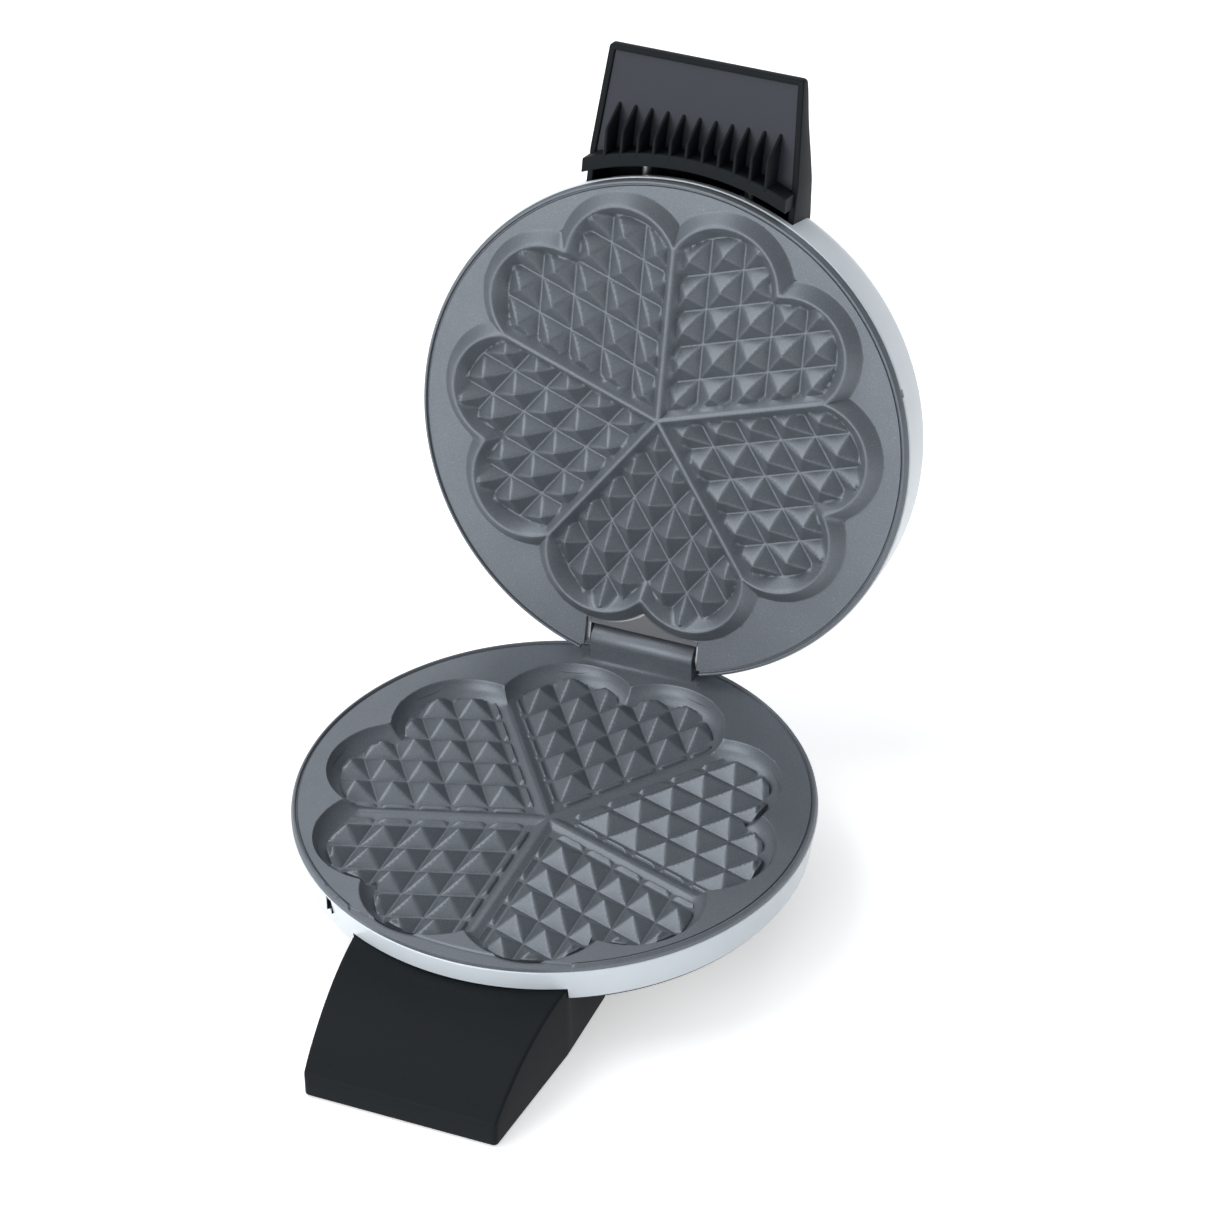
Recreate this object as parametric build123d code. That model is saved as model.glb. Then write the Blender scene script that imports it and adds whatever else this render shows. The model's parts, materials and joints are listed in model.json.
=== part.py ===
from build123d import *
from math import atan2, cos, radians, sin, sqrt
import os

# Heart waffle maker, open at its stop. +X right, +Y toward the hinge, +Z up.
# The origin is on the table, under the point where the five hearts meet.
# Lid pieces are drawn closed and turned open about the hinge pin at the end.

# Heights of the base, from the table up
foot_height = 2.6
shell_bottom = 8.0
ring_foot = 26.2
ring_height = 13.6
plate_edge = 2.2
lip_rise = 0.6
parting_gap = 0.4
base_seat = ring_foot + ring_height
flange = base_seat + plate_edge
lid_flange = flange + 2 * lip_rise + parting_gap
lid_seat = lid_flange + plate_edge

# Round outline, its centre lies a little toward the hinge
case_radius = 96.0
rim_y = 5.5
front_y = rim_y - case_radius
case_wall = 2.2
ring_taper = 2.4
ring_foot_radius = case_radius - ring_taper
ring_ledge = 5.6
ring_bore = ring_foot_radius - ring_ledge
plate_radius = case_radius - 0.5
lip_radius = plate_radius - 0.6
lip_width = 0.9
groove_width = 0.9
groove_depth = 0.7

# Small slot in the ring and the gap in the plate's lip above it
slot_angle = -33.7
slot_half = 1.75
slot_foot = 7.3
lip_gap_half = 4.5

# Hinge
hinge_y = rim_y + case_radius - 8.3
hinge_z = flange + 7.8
open_angle = 105
pin_radius = 2.5
pin_bore = 1.6
pin_overhang = 0.5
press_clearance = 0.02
running_clearance = 0.06
barrel_radius = 5.7
barrel_half = 20.5
ear_gap = 0.8
ear_thick = 2.6
ear_wall = 1.4
ears_half = barrel_half + ear_gap + ear_thick
panel_depth = 1.3
hinge_panel_gap = 0.9
cutout_half = barrel_half + 2.1
hinge_seat_half = barrel_half + 2.5
hinge_seat_front = hinge_y - 7.1
barrel_screw_x = 13.0
barrel_screw_y = hinge_y - 1.7
bracket_thick = 2.0
bracket_screw_y = hinge_y - 10.7
rivet_x = ears_half + 4.6
rivet_y = hinge_y - 15.2
rivet_radius = 2.0

# Hearts: five, between five dividers, drawn for a 96 mm outline
hearts = 5
half_sector = radians(180 / hearts)
heart_scale = case_radius / 96
lobe_x = 17.5 * heart_scale
lobe_y = 57.5 * heart_scale
pitch = 12.9 * heart_scale
strip = 1.3
recess_lobes = [lobe * heart_scale for lobe in (26.5, 25.6, 23.3)]
recess_levels = [0.0, 2.5, 5.25]
lower_floor_lobe = 19.3 * heart_scale
lower_floor_depth = 6.7
lower_crest_half = 0.9
lower_foot_half = 3.5
lower_pyramid = 5.15
ridge_foot_lobe = 26.5 * heart_scale
ridge_crest_lobe = 22.0 * heart_scale
ridge_height = 5.1
ridge_flat = 0.8
upper_crest_half = 0.6
upper_foot_half = 4.4
upper_floor_lobe = 16.7 * heart_scale
upper_floor_depth = 0.6
upper_pyramid = 5.7
lower_cells_past = 1.0
upper_cells_past = 3.2
sharp_nose = 1.0
round_nose = 3.5
plate_web = 3.0
boss_radius = plate_radius - 10.5
back_thick = 2.8

# Base shell
shell_wall = 2.2
shell_rim = ring_foot_radius - 1.1
shell_floor_radius = shell_rim - 24.5
shell_rim_height = 1.2
post_circle = 35.0 * heart_scale
post_radius = 5.0
stud_radius = 4.5
screw_radius = 1.7
screw_hole = 1.9
screw_head = 3.4
screw_head_height = 2.2
leg_x = 44.0
leg_y = hinge_y - 14.2
leg_radius = 7.0
foot_radius = 6.0
entry_z = shell_bottom + 7.0
entry_back = hinge_y - 1.7
entry_front = entry_back - 25.5
entry_half = 8.0
entry_radius = 4.0

# Lower handle, its top given back from the root and up from the ring's foot
grip_half_root = 41.0
grip_half_tip = 36.8
grip_root_y = front_y + 10.5
grip_tip_y = grip_root_y - 53.0
grip_back_y = grip_root_y + 34.0
grip_wall = 2.5
grip_clear = 0.8
grip_rise = 4.8
grip_top = [
    (grip_root_y - back, ring_foot + rise)
    for back, rise in ((2, grip_rise), (16, 2.8), (25, 0.1), (33, -3.2), (40, -6.9))
]
grip_tip_top = [(grip_root_y - 46.5, ring_foot - 11.0), (grip_tip_y + 0.7, ring_foot - 15.6)]
grip_screw_x = 20.0
grip_screw_y = grip_root_y + 28.0
pad_x = 28.0
pad_y = grip_tip_y + 9.0
pad_radius = 4.6

# Front shelf of the lower plate, over the handle
shelf_drop = 0.8
shelf_edge = case_radius - 12.0
shelf_bow = 57.0
shelf_radius = shelf_edge + shelf_bow
shelf_half = grip_half_root + 2.0

# Heating
tube_radius = 3.3
heater_circle = 64.0 * heart_scale
heater_sweep = 300
heater_start = 120
heater_sink = 1.2
groove_clearance = 0.1
shield_thick = 0.5
shield_radius = shell_rim - 14.5
shield_drop = 7.0
tail_radius = 1.3
tail_length = 5.0
heater_leg = 9.0
wire_radius = 1.1
wire_bend = 3.0
terminal_half = 13.0
terminal_y = 55.0 * heart_scale
terminal_depth = 7.0
terminal_height = 9.0
plate_bottom = flange - lower_floor_depth - plate_web
shield_level = plate_bottom - shield_drop
lower_tube_level = plate_bottom - tube_radius + heater_sink
upper_back = lid_seat + back_thick
upper_shield_level = upper_back + shield_drop
upper_tube_level = upper_back + tube_radius - heater_sink

# Lid cover
lid_top = lid_seat + 30.2
lid_shoulder_radius = case_radius - 2.5
lid_round = 14.0
lid_notch_half = ears_half + 0.7
lid_notch_top = lid_seat + 17.2
rim_notch_angle = 69.4
rim_notch_half = 1.5

# Upper handle, its top given back from the cover's front and down from its top
hand_half_root = 40.5
hand_half_tip = 37.6
hand_wall = 2.4
hand_rim_tip = lid_seat + 9.2
hand_rim_root = lid_seat + 5.7
hand_rim_y = front_y - 1.5
hand_bend_y = front_y - 3.5
hand_top = [
    (front_y - back, lid_top - drop)
    for back, drop in ((-12.5, 6.0), (-4.5, 7.2), (10.5, 10.0), (26.5, 13.7), (42.0, 16.0))
]
hand_seat_radius = lid_shoulder_radius - 2.3
hand_skirt = 2.6
hand_screw_x = 20.0
hand_screw_y = front_y
hand_screw_z = lid_seat + 12.2
lug_half = 7.0
lug_radius = case_radius - 5.0
panel_sink = 0.9
panel_thick = 1.0
ledge_inner = case_radius + 4.5
ledge_outer = ledge_inner + 5.0
ledge_half = hand_half_root - 1.0
ledge_foot = lid_flange - 1.1
ribs = 11
rib_pitch = 2 * (hand_half_root - 9.25) / (ribs - 1)
rib_thick = 1.9
rib_kink_y = rim_y - ledge_outer - 5.0
rib_end_y = rib_kink_y - 5.8

# Control on the lid
dial_y = tube_radius + 8.7 - heater_circle
dial_radius = 15.0
dial_height = 8.0
dial_gap = 0.5
dial_grips = 12
spindle_radius = 3.0
spindle_gap = 0.6
lamp_x = dial_radius + 8.0
lamp_radius = 3.0
thermostat_height = 14.0

hinge_axis = Axis((0, hinge_y, hinge_z), (1, 0, 0))
edge_line = lobe_x * cos(radians(90) - half_sector) + lobe_y * sin(radians(90) - half_sector)
edge_gap = lobe_y * sin(half_sector) - lobe_x * cos(half_sector)
sector_angles = [90 + k * 360 / hearts for k in range(hearts)]


def write(shape, name):
    export_step(shape, f"parts/{name}.step")


def write_lid(shape, name):
    write(shape.rotate(hinge_axis, -open_angle), name)


def turned(x, y, z, angle):
    a = radians(angle)
    return (x * cos(a) - y * sin(a), x * sin(a) + y * cos(a), z)


def ring_about(points, x=0, y=rim_y):
    """Full turn of a profile given as radius and height."""
    profile = make_face(Polyline(*[(r, 0, z) for r, z in points], close=True))
    return Pos(x, y, 0) * revolve(profile, Axis.Z)


def round_wall(radius, z0, z1):
    """Solid disc inside the round outline, to cut or keep what reaches past it."""
    return ring_about([(0, z0), (radius, z0), (radius, z1), (0, z1)])


def upright(x, y, z0, z1, radius):
    return Pos(x, y, (z0 + z1) / 2) * Cylinder(radius, abs(z1 - z0))


def along_x(y, z, half, radius):
    return Pos(0, y, z) * Rot(0, 90, 0) * Cylinder(radius, 2 * half)


def along_y(x, z, y0, y1, radius):
    return Pos(x, (y0 + y1) / 2, z) * Rot(90, 0, 0) * Cylinder(radius, abs(y1 - y0))


def block(x0, x1, y0, y1, z0, z1):
    centre = Pos((x0 + x1) / 2, (y0 + y1) / 2, (z0 + z1) / 2)
    return centre * Box(abs(x1 - x0), abs(y1 - y0), abs(z1 - z0))


def side_slab(points, half):
    """A profile in the YZ plane, spread to both sides of the middle."""
    profile = make_face(Polyline(*[(0, y, z) for y, z in points], close=True))
    return extrude(profile, half, dir=(1, 0, 0), both=True)


# One heart: two lobes, the nose between them and the two divider edges.
def cusp(lobe, half):
    gap = edge_gap - half
    reach = edge_line + sqrt(lobe ** 2 - gap ** 2)
    ux, uy = sin(half_sector), cos(half_sector)
    return reach * ux - half * uy, reach * uy + half * ux


def heart_arcs(lobe, half, nose, z, angle):
    """Right lobe, nose and left lobe of one heart, from divider to divider."""
    nose_y = lobe_y + sqrt((lobe + nose) ** 2 - lobe_x ** 2)
    x0, y0 = cusp(lobe, half)
    start = atan2(y0 - lobe_y, x0 - lobe_x)
    end = atan2(nose_y - lobe_y, -lobe_x)
    middle = (start + end) / 2
    points = [
        (x0, y0),
        (lobe_x + lobe * cos(middle), lobe_y + lobe * sin(middle)),
        (lobe_x + lobe * cos(end), lobe_y + lobe * sin(end)),
        (0, nose_y - nose),
    ]
    points += [(-x, y) for x, y in reversed(points[:3])]
    turn = angle - 90
    spots = [turned(x, y, z, turn) for x, y in points]
    return [
        Edge.make_three_point_arc(*spots[0:3]),
        Edge.make_three_point_arc(*spots[2:5]),
        Edge.make_three_point_arc(*spots[4:7]),
    ]


def heart_face(lobe, half, nose, z):
    arcs = heart_arcs(lobe, half, nose, z, 90)
    tip = (0, half / sin(half_sector), z)
    lines = [Edge.make_line(arcs[-1] @ 1, tip), Edge.make_line(tip, arcs[0] @ 0)]
    return Face(Wire(arcs + lines))


def flower_face(lobe, z):
    arcs = []
    for angle in sector_angles:
        arcs += heart_arcs(lobe, 0, sharp_nose, z, angle)
    return Face(Wire(arcs))


def cell_point(a, b, z):
    """A point given by its distances from the two divider lines."""
    return ((b - a) / (2 * cos(half_sector)), (a + b) / (2 * sin(half_sector)), z)


def pyramid(a, b, floor, height, way):
    sink = 0.5
    half = (pitch - strip) / 2 * (height + sink) / height
    corners = [(a - half, b - half), (a + half, b - half), (a + half, b + half), (a - half, b + half)]
    base = [cell_point(p, q, floor - way * sink) for p, q in corners]
    apex = cell_point(a, b, floor + way * height)
    sides = [Face(Wire.make_polygon([base[k - 1], base[k], apex])) for k in range(4)]
    return Solid(Shell([Face(Wire.make_polygon(base))] + sides))


def cell_is_used(a, b, reach):
    x, y, _ = cell_point(a, b, 0)
    near_lobe = min(sqrt((x - side * lobe_x) ** 2 + (y - lobe_y) ** 2) for side in (-1, 1))
    inside = y < lobe_y
    return near_lobe < reach or inside


def heart_pyramids(phase, floor, height, way, reach):
    """Rows of pyramids along both dividers of one heart."""
    count = int(2.2 * lobe_y / pitch)
    steps = [phase + k * pitch for k in range(count)]
    cells = [(a, b) for a in steps for b in steps if cell_is_used(a, b, reach)]
    return [pyramid(a, b, floor, height, way) for a, b in cells]


def five(shape):
    return [Rot(0, 0, angle - 90) * shape for angle in sector_angles]


def lower_recess():
    levels = [flower_face(lobe, flange - depth) for lobe, depth in zip(recess_lobes, recess_levels)]
    above = flower_face(recess_lobes[0], flange + 1)
    flower = loft([levels[0], above], ruled=True)
    flower += loft([levels[1], levels[0]], ruled=True)
    flower += loft([levels[2], levels[1]], ruled=True)
    crest = flange - recess_levels[-1]
    floor = flange - lower_floor_depth
    top = heart_face(recess_lobes[-1], lower_crest_half, sharp_nose, crest)
    bottom = heart_face(lower_floor_lobe, lower_foot_half, round_nose, floor)
    pocket = loft([bottom, top], ruled=True)
    cut = flower + five(pocket)
    spikes = heart_pyramids(pitch, floor, lower_pyramid, 1, lower_floor_lobe + lower_cells_past)
    return cut - [copy for spike in spikes for copy in five(spike)]


def upper_ridges():
    foot = flower_face(ridge_foot_lobe, lid_flange)
    crest = flower_face(ridge_crest_lobe, lid_flange - ridge_height)
    return loft([crest, foot], ruled=True)


def upper_pockets():
    crest = lid_flange - ridge_height
    floor = lid_flange + upper_floor_depth
    mouth = heart_face(ridge_crest_lobe - ridge_flat, upper_crest_half, sharp_nose, crest)
    above = heart_face(ridge_crest_lobe - ridge_flat, upper_crest_half, sharp_nose, crest - 1)
    bottom = heart_face(upper_floor_lobe, upper_foot_half, round_nose, floor)
    pocket = loft([above, mouth], ruled=True) + loft([mouth, bottom], ruled=True)
    pocket -= heart_pyramids(pitch / 2, floor, upper_pyramid, -1, upper_floor_lobe + upper_cells_past)
    return five(pocket)


def plate_disc(seat, way):
    """Flange with its lip and groove; way is 1 for the base and -1 for the lid."""
    top = seat + way * plate_edge
    lip = top + way * lip_rise
    groove_r = lip_radius - lip_width
    points = [
        (0, seat), (plate_radius, seat), (plate_radius, seat + way * 1.4), (lip_radius, lip - way * 0.2),
        (lip_radius - 0.2, lip), (groove_r, lip), (groove_r, top - way * groove_depth),
        (groove_r - groove_width, top - way * groove_depth), (groove_r - groove_width, top), (0, top),
    ]
    return ring_about(points)


def heater_groove(level):
    profile = Pos(heater_circle, 0, level) * Rot(90, 0, 0) * Circle(tube_radius + groove_clearance)
    return revolve(profile, Axis.Z)


def heater(level, way):
    """Round element with its two ends bent away from the plate."""
    profile = Pos(heater_circle, 0, level) * Rot(90, 0, 0) * Circle(tube_radius)
    tube = Rot(0, 0, heater_start) * revolve(profile, Axis.Z, heater_sweep)
    for x, y, _ in heater_ends():
        end = level + way * heater_leg
        tube += Pos(x, y, level) * Sphere(tube_radius)
        tube += upright(x, y, level, end, tube_radius)
        tube += upright(x, y, end, end + way * tail_length, tail_radius)
    return tube


def heater_ends():
    return [turned(heater_circle, 0, 0, angle) for angle in (heater_start, heater_start + heater_sweep)]


def post_spots(turn=0):
    return [turned(0, post_circle, 0, turn + k * 120) for k in range(3)]


def shield(seat, way, holes):
    """Thin pan between the element and the housing."""
    level = seat + way * shield_drop
    pan = upright(0, 0, level - way * shield_thick, level, shield_radius)
    rim = upright(0, 0, seat, level, shield_radius) - upright(0, 0, seat, level, shield_radius - shield_thick)
    pan += rim
    for x, y, radius in holes:
        pan -= upright(x, y, level - 2, level + 2, radius)
    return pan


def grip_outline(z0, z1, tip_half, root_half, tip_y, root_y):
    """Seen from above, a handle widens from its tip to its root and then runs straight back."""
    back_y = root_y + 50.0
    points = [(-tip_half, tip_y), (tip_half, tip_y), (root_half, root_y), (root_half, back_y)]
    points += [(-root_half, back_y), (-root_half, root_y)]
    face = make_face(Polyline(*[(x, y, z0) for x, y in points], close=True))
    return extrude(face, z1 - z0, dir=(0, 0, 1))


def shell_outer(grow=0.0):
    """Solid outline of the base shell, grown outward for what seats on it."""
    slope = (shell_rim - shell_floor_radius) / (ring_foot - shell_rim_height - shell_bottom)
    side = grow * sqrt(1 + slope ** 2)
    low = shell_bottom - grow
    low_radius = shell_floor_radius + side - grow * slope
    knee = ring_foot - shell_rim_height
    points = [(0, low), (low_radius, low), (shell_rim + side, knee)]
    points += [(shell_rim + side, ring_foot), (0, ring_foot)]
    return ring_about(points)


def grip_body(inset):
    """Wedge of the lower handle; inset gives the hollow inside it."""
    tip_y = grip_tip_y + inset
    top = [(y, z - inset) for y, z in grip_top]
    top += [(y + 0.7 * inset, z - 0.7 * inset) for y, z in grip_tip_top]
    low = grip_clear - (1 if inset else 0)
    points = [(grip_back_y - inset, low)] + [(grip_back_y - inset, grip_top[0][1] - inset)] + top
    points += [(tip_y, grip_tip_top[-1][1] - 0.7 * inset - 0.6), (tip_y, low)]
    wedge = side_slab(points, grip_half_root + 20)
    tip_half, root_half = grip_half_tip - inset, grip_half_root - inset
    return wedge & grip_outline(-2, flange, tip_half, root_half, tip_y, grip_root_y)


def make_lower_handle():
    body = grip_body(0)
    hollow = grip_body(grip_wall) - shell_outer(grip_wall)
    wide = grip_half_root + 20
    front = block(-wide, wide, front_y - 10, grip_back_y + 6, ring_foot - 6, flange)
    hollow -= round_wall(ring_foot_radius - 0.6, 0, flange) & front
    body -= hollow
    for x in (-grip_screw_x, grip_screw_x):
        body += upright(x, grip_screw_y, grip_clear + screw_head_height, shell_bottom, screw_head + 1)
    for x in (-pad_x, pad_x):
        body += upright(x, pad_y, foot_height, ring_foot, pad_radius + 0.4) & grip_body(0)
    body -= shell_outer()
    body -= round_wall(ring_bore + 2, ring_foot, flange)
    for x in (-grip_screw_x, grip_screw_x):
        body -= upright(x, grip_screw_y, 0, 20, screw_hole)
    return body


def make_base_shell():
    rim_z = ring_foot - shell_rim_height
    slope = (shell_rim - shell_floor_radius) / (rim_z - shell_bottom)
    side = shell_wall * sqrt(1 + slope ** 2)
    floor = shell_bottom + shell_wall
    inner_low = shell_floor_radius + slope * shell_wall - side
    inner_high = shell_floor_radius + slope * (rim_z - 1 - shell_bottom) - side
    points = [(0, shell_bottom), (shell_floor_radius, shell_bottom)]
    points += [(shell_rim, rim_z), (shell_rim, ring_foot)]
    points += [(inner_high, ring_foot), (inner_high, rim_z - 1), (inner_low, floor), (0, floor)]
    shell = ring_about(points)
    seat = shield_level - shield_thick
    for x, y, _ in post_spots():
        shell += upright(x, y, shell_bottom, shield_level, post_radius)
        shell -= upright(x, y, shell_bottom - 1, shell_bottom + screw_head_height + 0.6, screw_head + 0.3)
        shell -= upright(x, y, shell_bottom, seat + 2, screw_hole)
    for x in (-grip_screw_x, grip_screw_x):
        shell += upright(x, grip_screw_y, shell_bottom, shell_bottom + 8, 4)
        shell -= upright(x, grip_screw_y, shell_bottom - 1, shell_bottom + 6.5, screw_radius)
    for x in (-leg_x, leg_x):
        leg = upright(x, leg_y, foot_height, ring_foot - 3, leg_radius)
        shell += leg - shell_outer(-shell_wall / 2)
        shell -= upright(x, leg_y, 0, foot_height + 5, screw_radius + running_clearance)
    entry = block(-entry_half, entry_half, entry_front, entry_back, entry_z - 6, entry_z + 6)
    shell += entry - shell_outer(-shell_wall / 2)
    shell -= along_y(0, entry_z, entry_front - 16, entry_back + 8, entry_radius)
    return shell


def make_lower_casing():
    top = base_seat
    points = [
        (ring_foot_radius, ring_foot), (case_radius - 0.15, top - 0.4), (case_radius - 0.5, top),
        (case_radius - case_wall, top), (ring_foot_radius - case_wall, ring_foot + 2),
        (ring_bore, ring_foot + 2), (ring_bore, ring_foot),
    ]
    ring = ring_about(points)
    half = grip_half_root + 0.4
    ring -= block(-half, half, front_y - 20, grip_root_y + 20, ring_foot - 1, grip_top[0][1] + 0.3)
    slot = block(-slot_half, slot_half, -case_radius - 4, -ring_bore, ring_foot + slot_foot, top - 0.3)
    ring -= Pos(0, rim_y, 0) * Rot(0, 0, slot_angle) * slot
    return ring


def hinge_foot(half, front, z0, z1):
    return block(-half, half, front, hinge_y + 12, z0, z1) & ring_about(
        [(0, z0), (lip_radius, z0), (lip_radius, z1), (0, z1)])


def shelf_region(z0, z1):
    """The flat front part of the lower rim, outside the two front lobes."""
    region = block(-shelf_half, shelf_half, front_y - 10, front_y + 20, z0, z1)
    return region - Pos(0, shelf_radius - shelf_edge, (z0 + z1) / 2) * Cylinder(shelf_radius, z1 - z0 + 2)


def make_lower_plate():
    plate = plate_disc(base_seat, 1)
    plate += upright(0, 0, plate_bottom, base_seat, boss_radius)
    plate -= block(-shelf_half, shelf_half, front_y - 10, front_y + 20, flange, flange + 2)
    inner = lip_radius - 15
    outer = plate_radius - 0.3
    fill = ring_about([(inner, flange - 1), (outer, flange - 1), (lip_radius, flange), (inner, flange)])
    plate += fill & block(-shelf_half, shelf_half, front_y - 10, front_y + 20, flange - 1, flange)
    plate -= shelf_region(flange - shelf_drop, flange + 1)
    plate += hinge_foot(hinge_seat_half, hinge_seat_front, flange - 1, flange + lip_rise)
    plate -= lower_recess()
    for x, y, _ in post_spots():
        plate += upright(x, y, shield_level + shield_thick, plate_bottom, stud_radius)
        plate -= upright(x, y, shield_level, plate_bottom, screw_radius)
    for x in (-barrel_screw_x, barrel_screw_x):
        plate -= upright(x, barrel_screw_y, base_seat - 1, flange + 2, screw_hole)
    plate -= heater_groove(lower_tube_level)
    groove_r = lip_radius - lip_width
    gap = block(-lip_gap_half, lip_gap_half, -case_radius - 2, -groove_r - 0.1, flange, flange + 2)
    plate -= Pos(0, rim_y, 0) * Rot(0, 0, slot_angle) * gap
    return plate


def make_hinge_barrel():
    seat = flange + lip_rise
    body = block(-barrel_half, barrel_half, hinge_y - barrel_radius, hinge_y + barrel_radius, seat, hinge_z)
    body += along_x(hinge_y, hinge_z, barrel_half, barrel_radius)
    body -= along_x(hinge_y, hinge_z, barrel_half + 1, pin_radius + press_clearance)
    for x in (-barrel_screw_x, barrel_screw_x):
        body -= upright(x, barrel_screw_y, seat - 1, seat + 4, screw_radius)
    return body


def make_hinge_pin():
    half = barrel_half + ear_gap + ear_thick + pin_overhang
    return along_x(hinge_y, hinge_z, half, pin_radius) - along_x(hinge_y, hinge_z, half + 1, pin_bore)


def screw_up(x, y, head_z, length):
    """Screw with its head below and its shank pointing up."""
    head = upright(x, y, head_z, head_z + screw_head_height, screw_head)
    return head + upright(x, y, head_z, head_z + screw_head_height + length, screw_radius)


def make_base_screws():
    head_z = shell_bottom + 0.6
    length = plate_bottom - 2 - head_z - screw_head_height
    return Compound([screw_up(x, y, head_z, length) for x, y, _ in post_spots()])


def make_rubber_feet():
    feet = []
    for x in (-leg_x, leg_x):
        foot = upright(x, leg_y, 0, foot_height, foot_radius)
        foot += upright(x, leg_y, foot_height, foot_height + 4, screw_radius)
        feet.append(foot)
    feet += [upright(x, pad_y, 0, foot_height, pad_radius) for x in (-pad_x, pad_x)]
    return Compound(feet)


def make_cord_gland():
    sleeve = along_y(0, entry_z, entry_back - 6, entry_back, entry_radius - press_clearance)
    flange_disc = along_y(0, entry_z, entry_back, entry_back + 2, entry_radius + 1.4)
    return sleeve + flange_disc - along_y(0, entry_z, entry_back - 12, entry_back + 8, entry_radius - 0.9)


def bent_wire(points, radius):
    route = FilletPolyline(*points, radius=wire_bend)
    return sweep(Plane(origin=route @ 0, z_dir=route % 0) * Circle(radius), path=route)


def base_wiring():
    end = lower_tube_level - heater_leg - tail_length
    low = shell_bottom + shell_wall + 1.5
    wires = []
    for x, y, _ in heater_ends():
        side = x / abs(x)
        points = [(x, y, end), (x, y, low), (side * terminal_half, y, low)]
        wires.append(bent_wire(points, wire_radius))
    return Compound(wires)


def lid_body(grow, z0):
    """Outline of the lid cover from its rim to the top, grown for what fits in or on it."""
    foot = case_radius + grow
    shoulder = lid_shoulder_radius + grow
    top = lid_top + grow
    corner = lid_round + grow
    knee = (shoulder, 0, top - corner)
    bend = (shoulder - corner + corner * cos(radians(45)), 0, top - corner + corner * sin(radians(45)))
    crown = (shoulder - corner, 0, top)
    edges = [
        Edge.make_line((foot, 0, z0), knee),
        Edge.make_three_point_arc(knee, bend, crown),
        Edge.make_line(crown, (0, 0, top)),
        Edge.make_line((0, 0, top), (0, 0, z0)),
        Edge.make_line((0, 0, z0), (foot, 0, z0)),
    ]
    return Pos(0, rim_y, 0) * revolve(Face(Wire(edges)), Axis.Z)


def hand_opening_top():
    return hand_top[1][1] + 0.4


def make_lid_casing():
    case = lid_body(0, lid_seat) - lid_body(-case_wall, lid_seat - 1)
    half = hand_half_root + 0.15
    case -= block(-half, half, front_y - 20, front_y + 20, hand_rim_root - 2.4, hand_opening_top())
    case -= block(-lid_notch_half, lid_notch_half, hinge_y - 4, hinge_y + 12, lid_seat - 1, lid_notch_top)
    case += upright(0, bracket_screw_y, lid_seat + bracket_thick, lid_top - 1, 3.4)
    case -= upright(0, bracket_screw_y, lid_seat - 1, lid_seat + 12, screw_radius)
    case -= upright(0, dial_y, lid_top - 4, lid_top + 1, spindle_radius + spindle_gap)
    for x in (-lamp_x, lamp_x):
        case -= upright(x, dial_y, lid_top - 4, lid_top + 1, lamp_radius + 0.05)
    half = rim_notch_half
    notch = block(-half, half, -case_radius - 2, 6 - case_radius, lid_seat - 1, lid_seat + 1.2)
    case -= Pos(0, rim_y, 0) * Rot(0, 0, rim_notch_angle) * notch
    return case


def hinge_cutout(z0, z1, inset):
    """Opening of the upper plate at the hinge; its front follows the two lobes."""
    half = cutout_half - inset
    front = block(-half, half, lobe_y + 8.5, hinge_y + 12, z0, z1)
    for side in (-1, 1):
        front -= upright(side * lobe_x, lobe_y, z0 - 1, z1 + 1, ridge_foot_lobe + 0.4 + inset)
    return front


def largest(shape):
    return sorted(shape.solids(), key=lambda s: s.volume)[-1]


def make_upper_plate():
    plate = plate_disc(lid_seat, -1)
    plate += upright(0, 0, lid_seat, upper_back, boss_radius)
    plate += upper_ridges()
    plate -= upper_pockets()
    plate -= largest(hinge_cutout(lid_flange - lip_rise - 1, upper_back + 1, 0))
    bracket_bay = rivet_x + 4.5
    plate -= block(-bracket_bay, bracket_bay, rivet_y - 4.6, hinge_y + 12, lid_seat, upper_back + 1)
    flare = ears_half + 0.3
    plate -= block(-flare, flare, hinge_y - 1.2, hinge_y + 12, lid_flange - 3, upper_back)
    for x in (-rivet_x, rivet_x):
        plate += upright(x, rivet_y, lid_seat - 0.5, lid_seat + bracket_thick + 0.8, rivet_radius)
    lug_low, lug_high = lid_seat - 0.5, hand_screw_z + 5
    lug_back = -sqrt(shield_radius ** 2 - (hand_screw_x - lug_half) ** 2) - 0.1
    for x in (-hand_screw_x, hand_screw_x):
        lug = block(x - lug_half, x + lug_half, front_y + 2.5, lug_back, lug_low, lug_high)
        plate += lug & round_wall(lug_radius, lug_low, lug_high)
        plate -= along_y(x, hand_screw_z, front_y - 1.5, front_y + 12, screw_radius)
    for x, y, _ in post_spots(60):
        plate += upright(x, y, upper_back, upper_shield_level - shield_thick, stud_radius)
        plate -= upright(x, y, upper_back + 1, upper_shield_level, screw_radius)
    plate -= heater_groove(upper_tube_level)
    return plate


def make_hinge_panel():
    level = lid_flange + panel_depth
    panel = largest(hinge_cutout(level, lid_seat, hinge_panel_gap))
    half = cutout_half
    return panel & block(-half, half, lobe_y, hinge_y - barrel_radius - 0.8, level - 1, lid_seat + 1)


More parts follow.
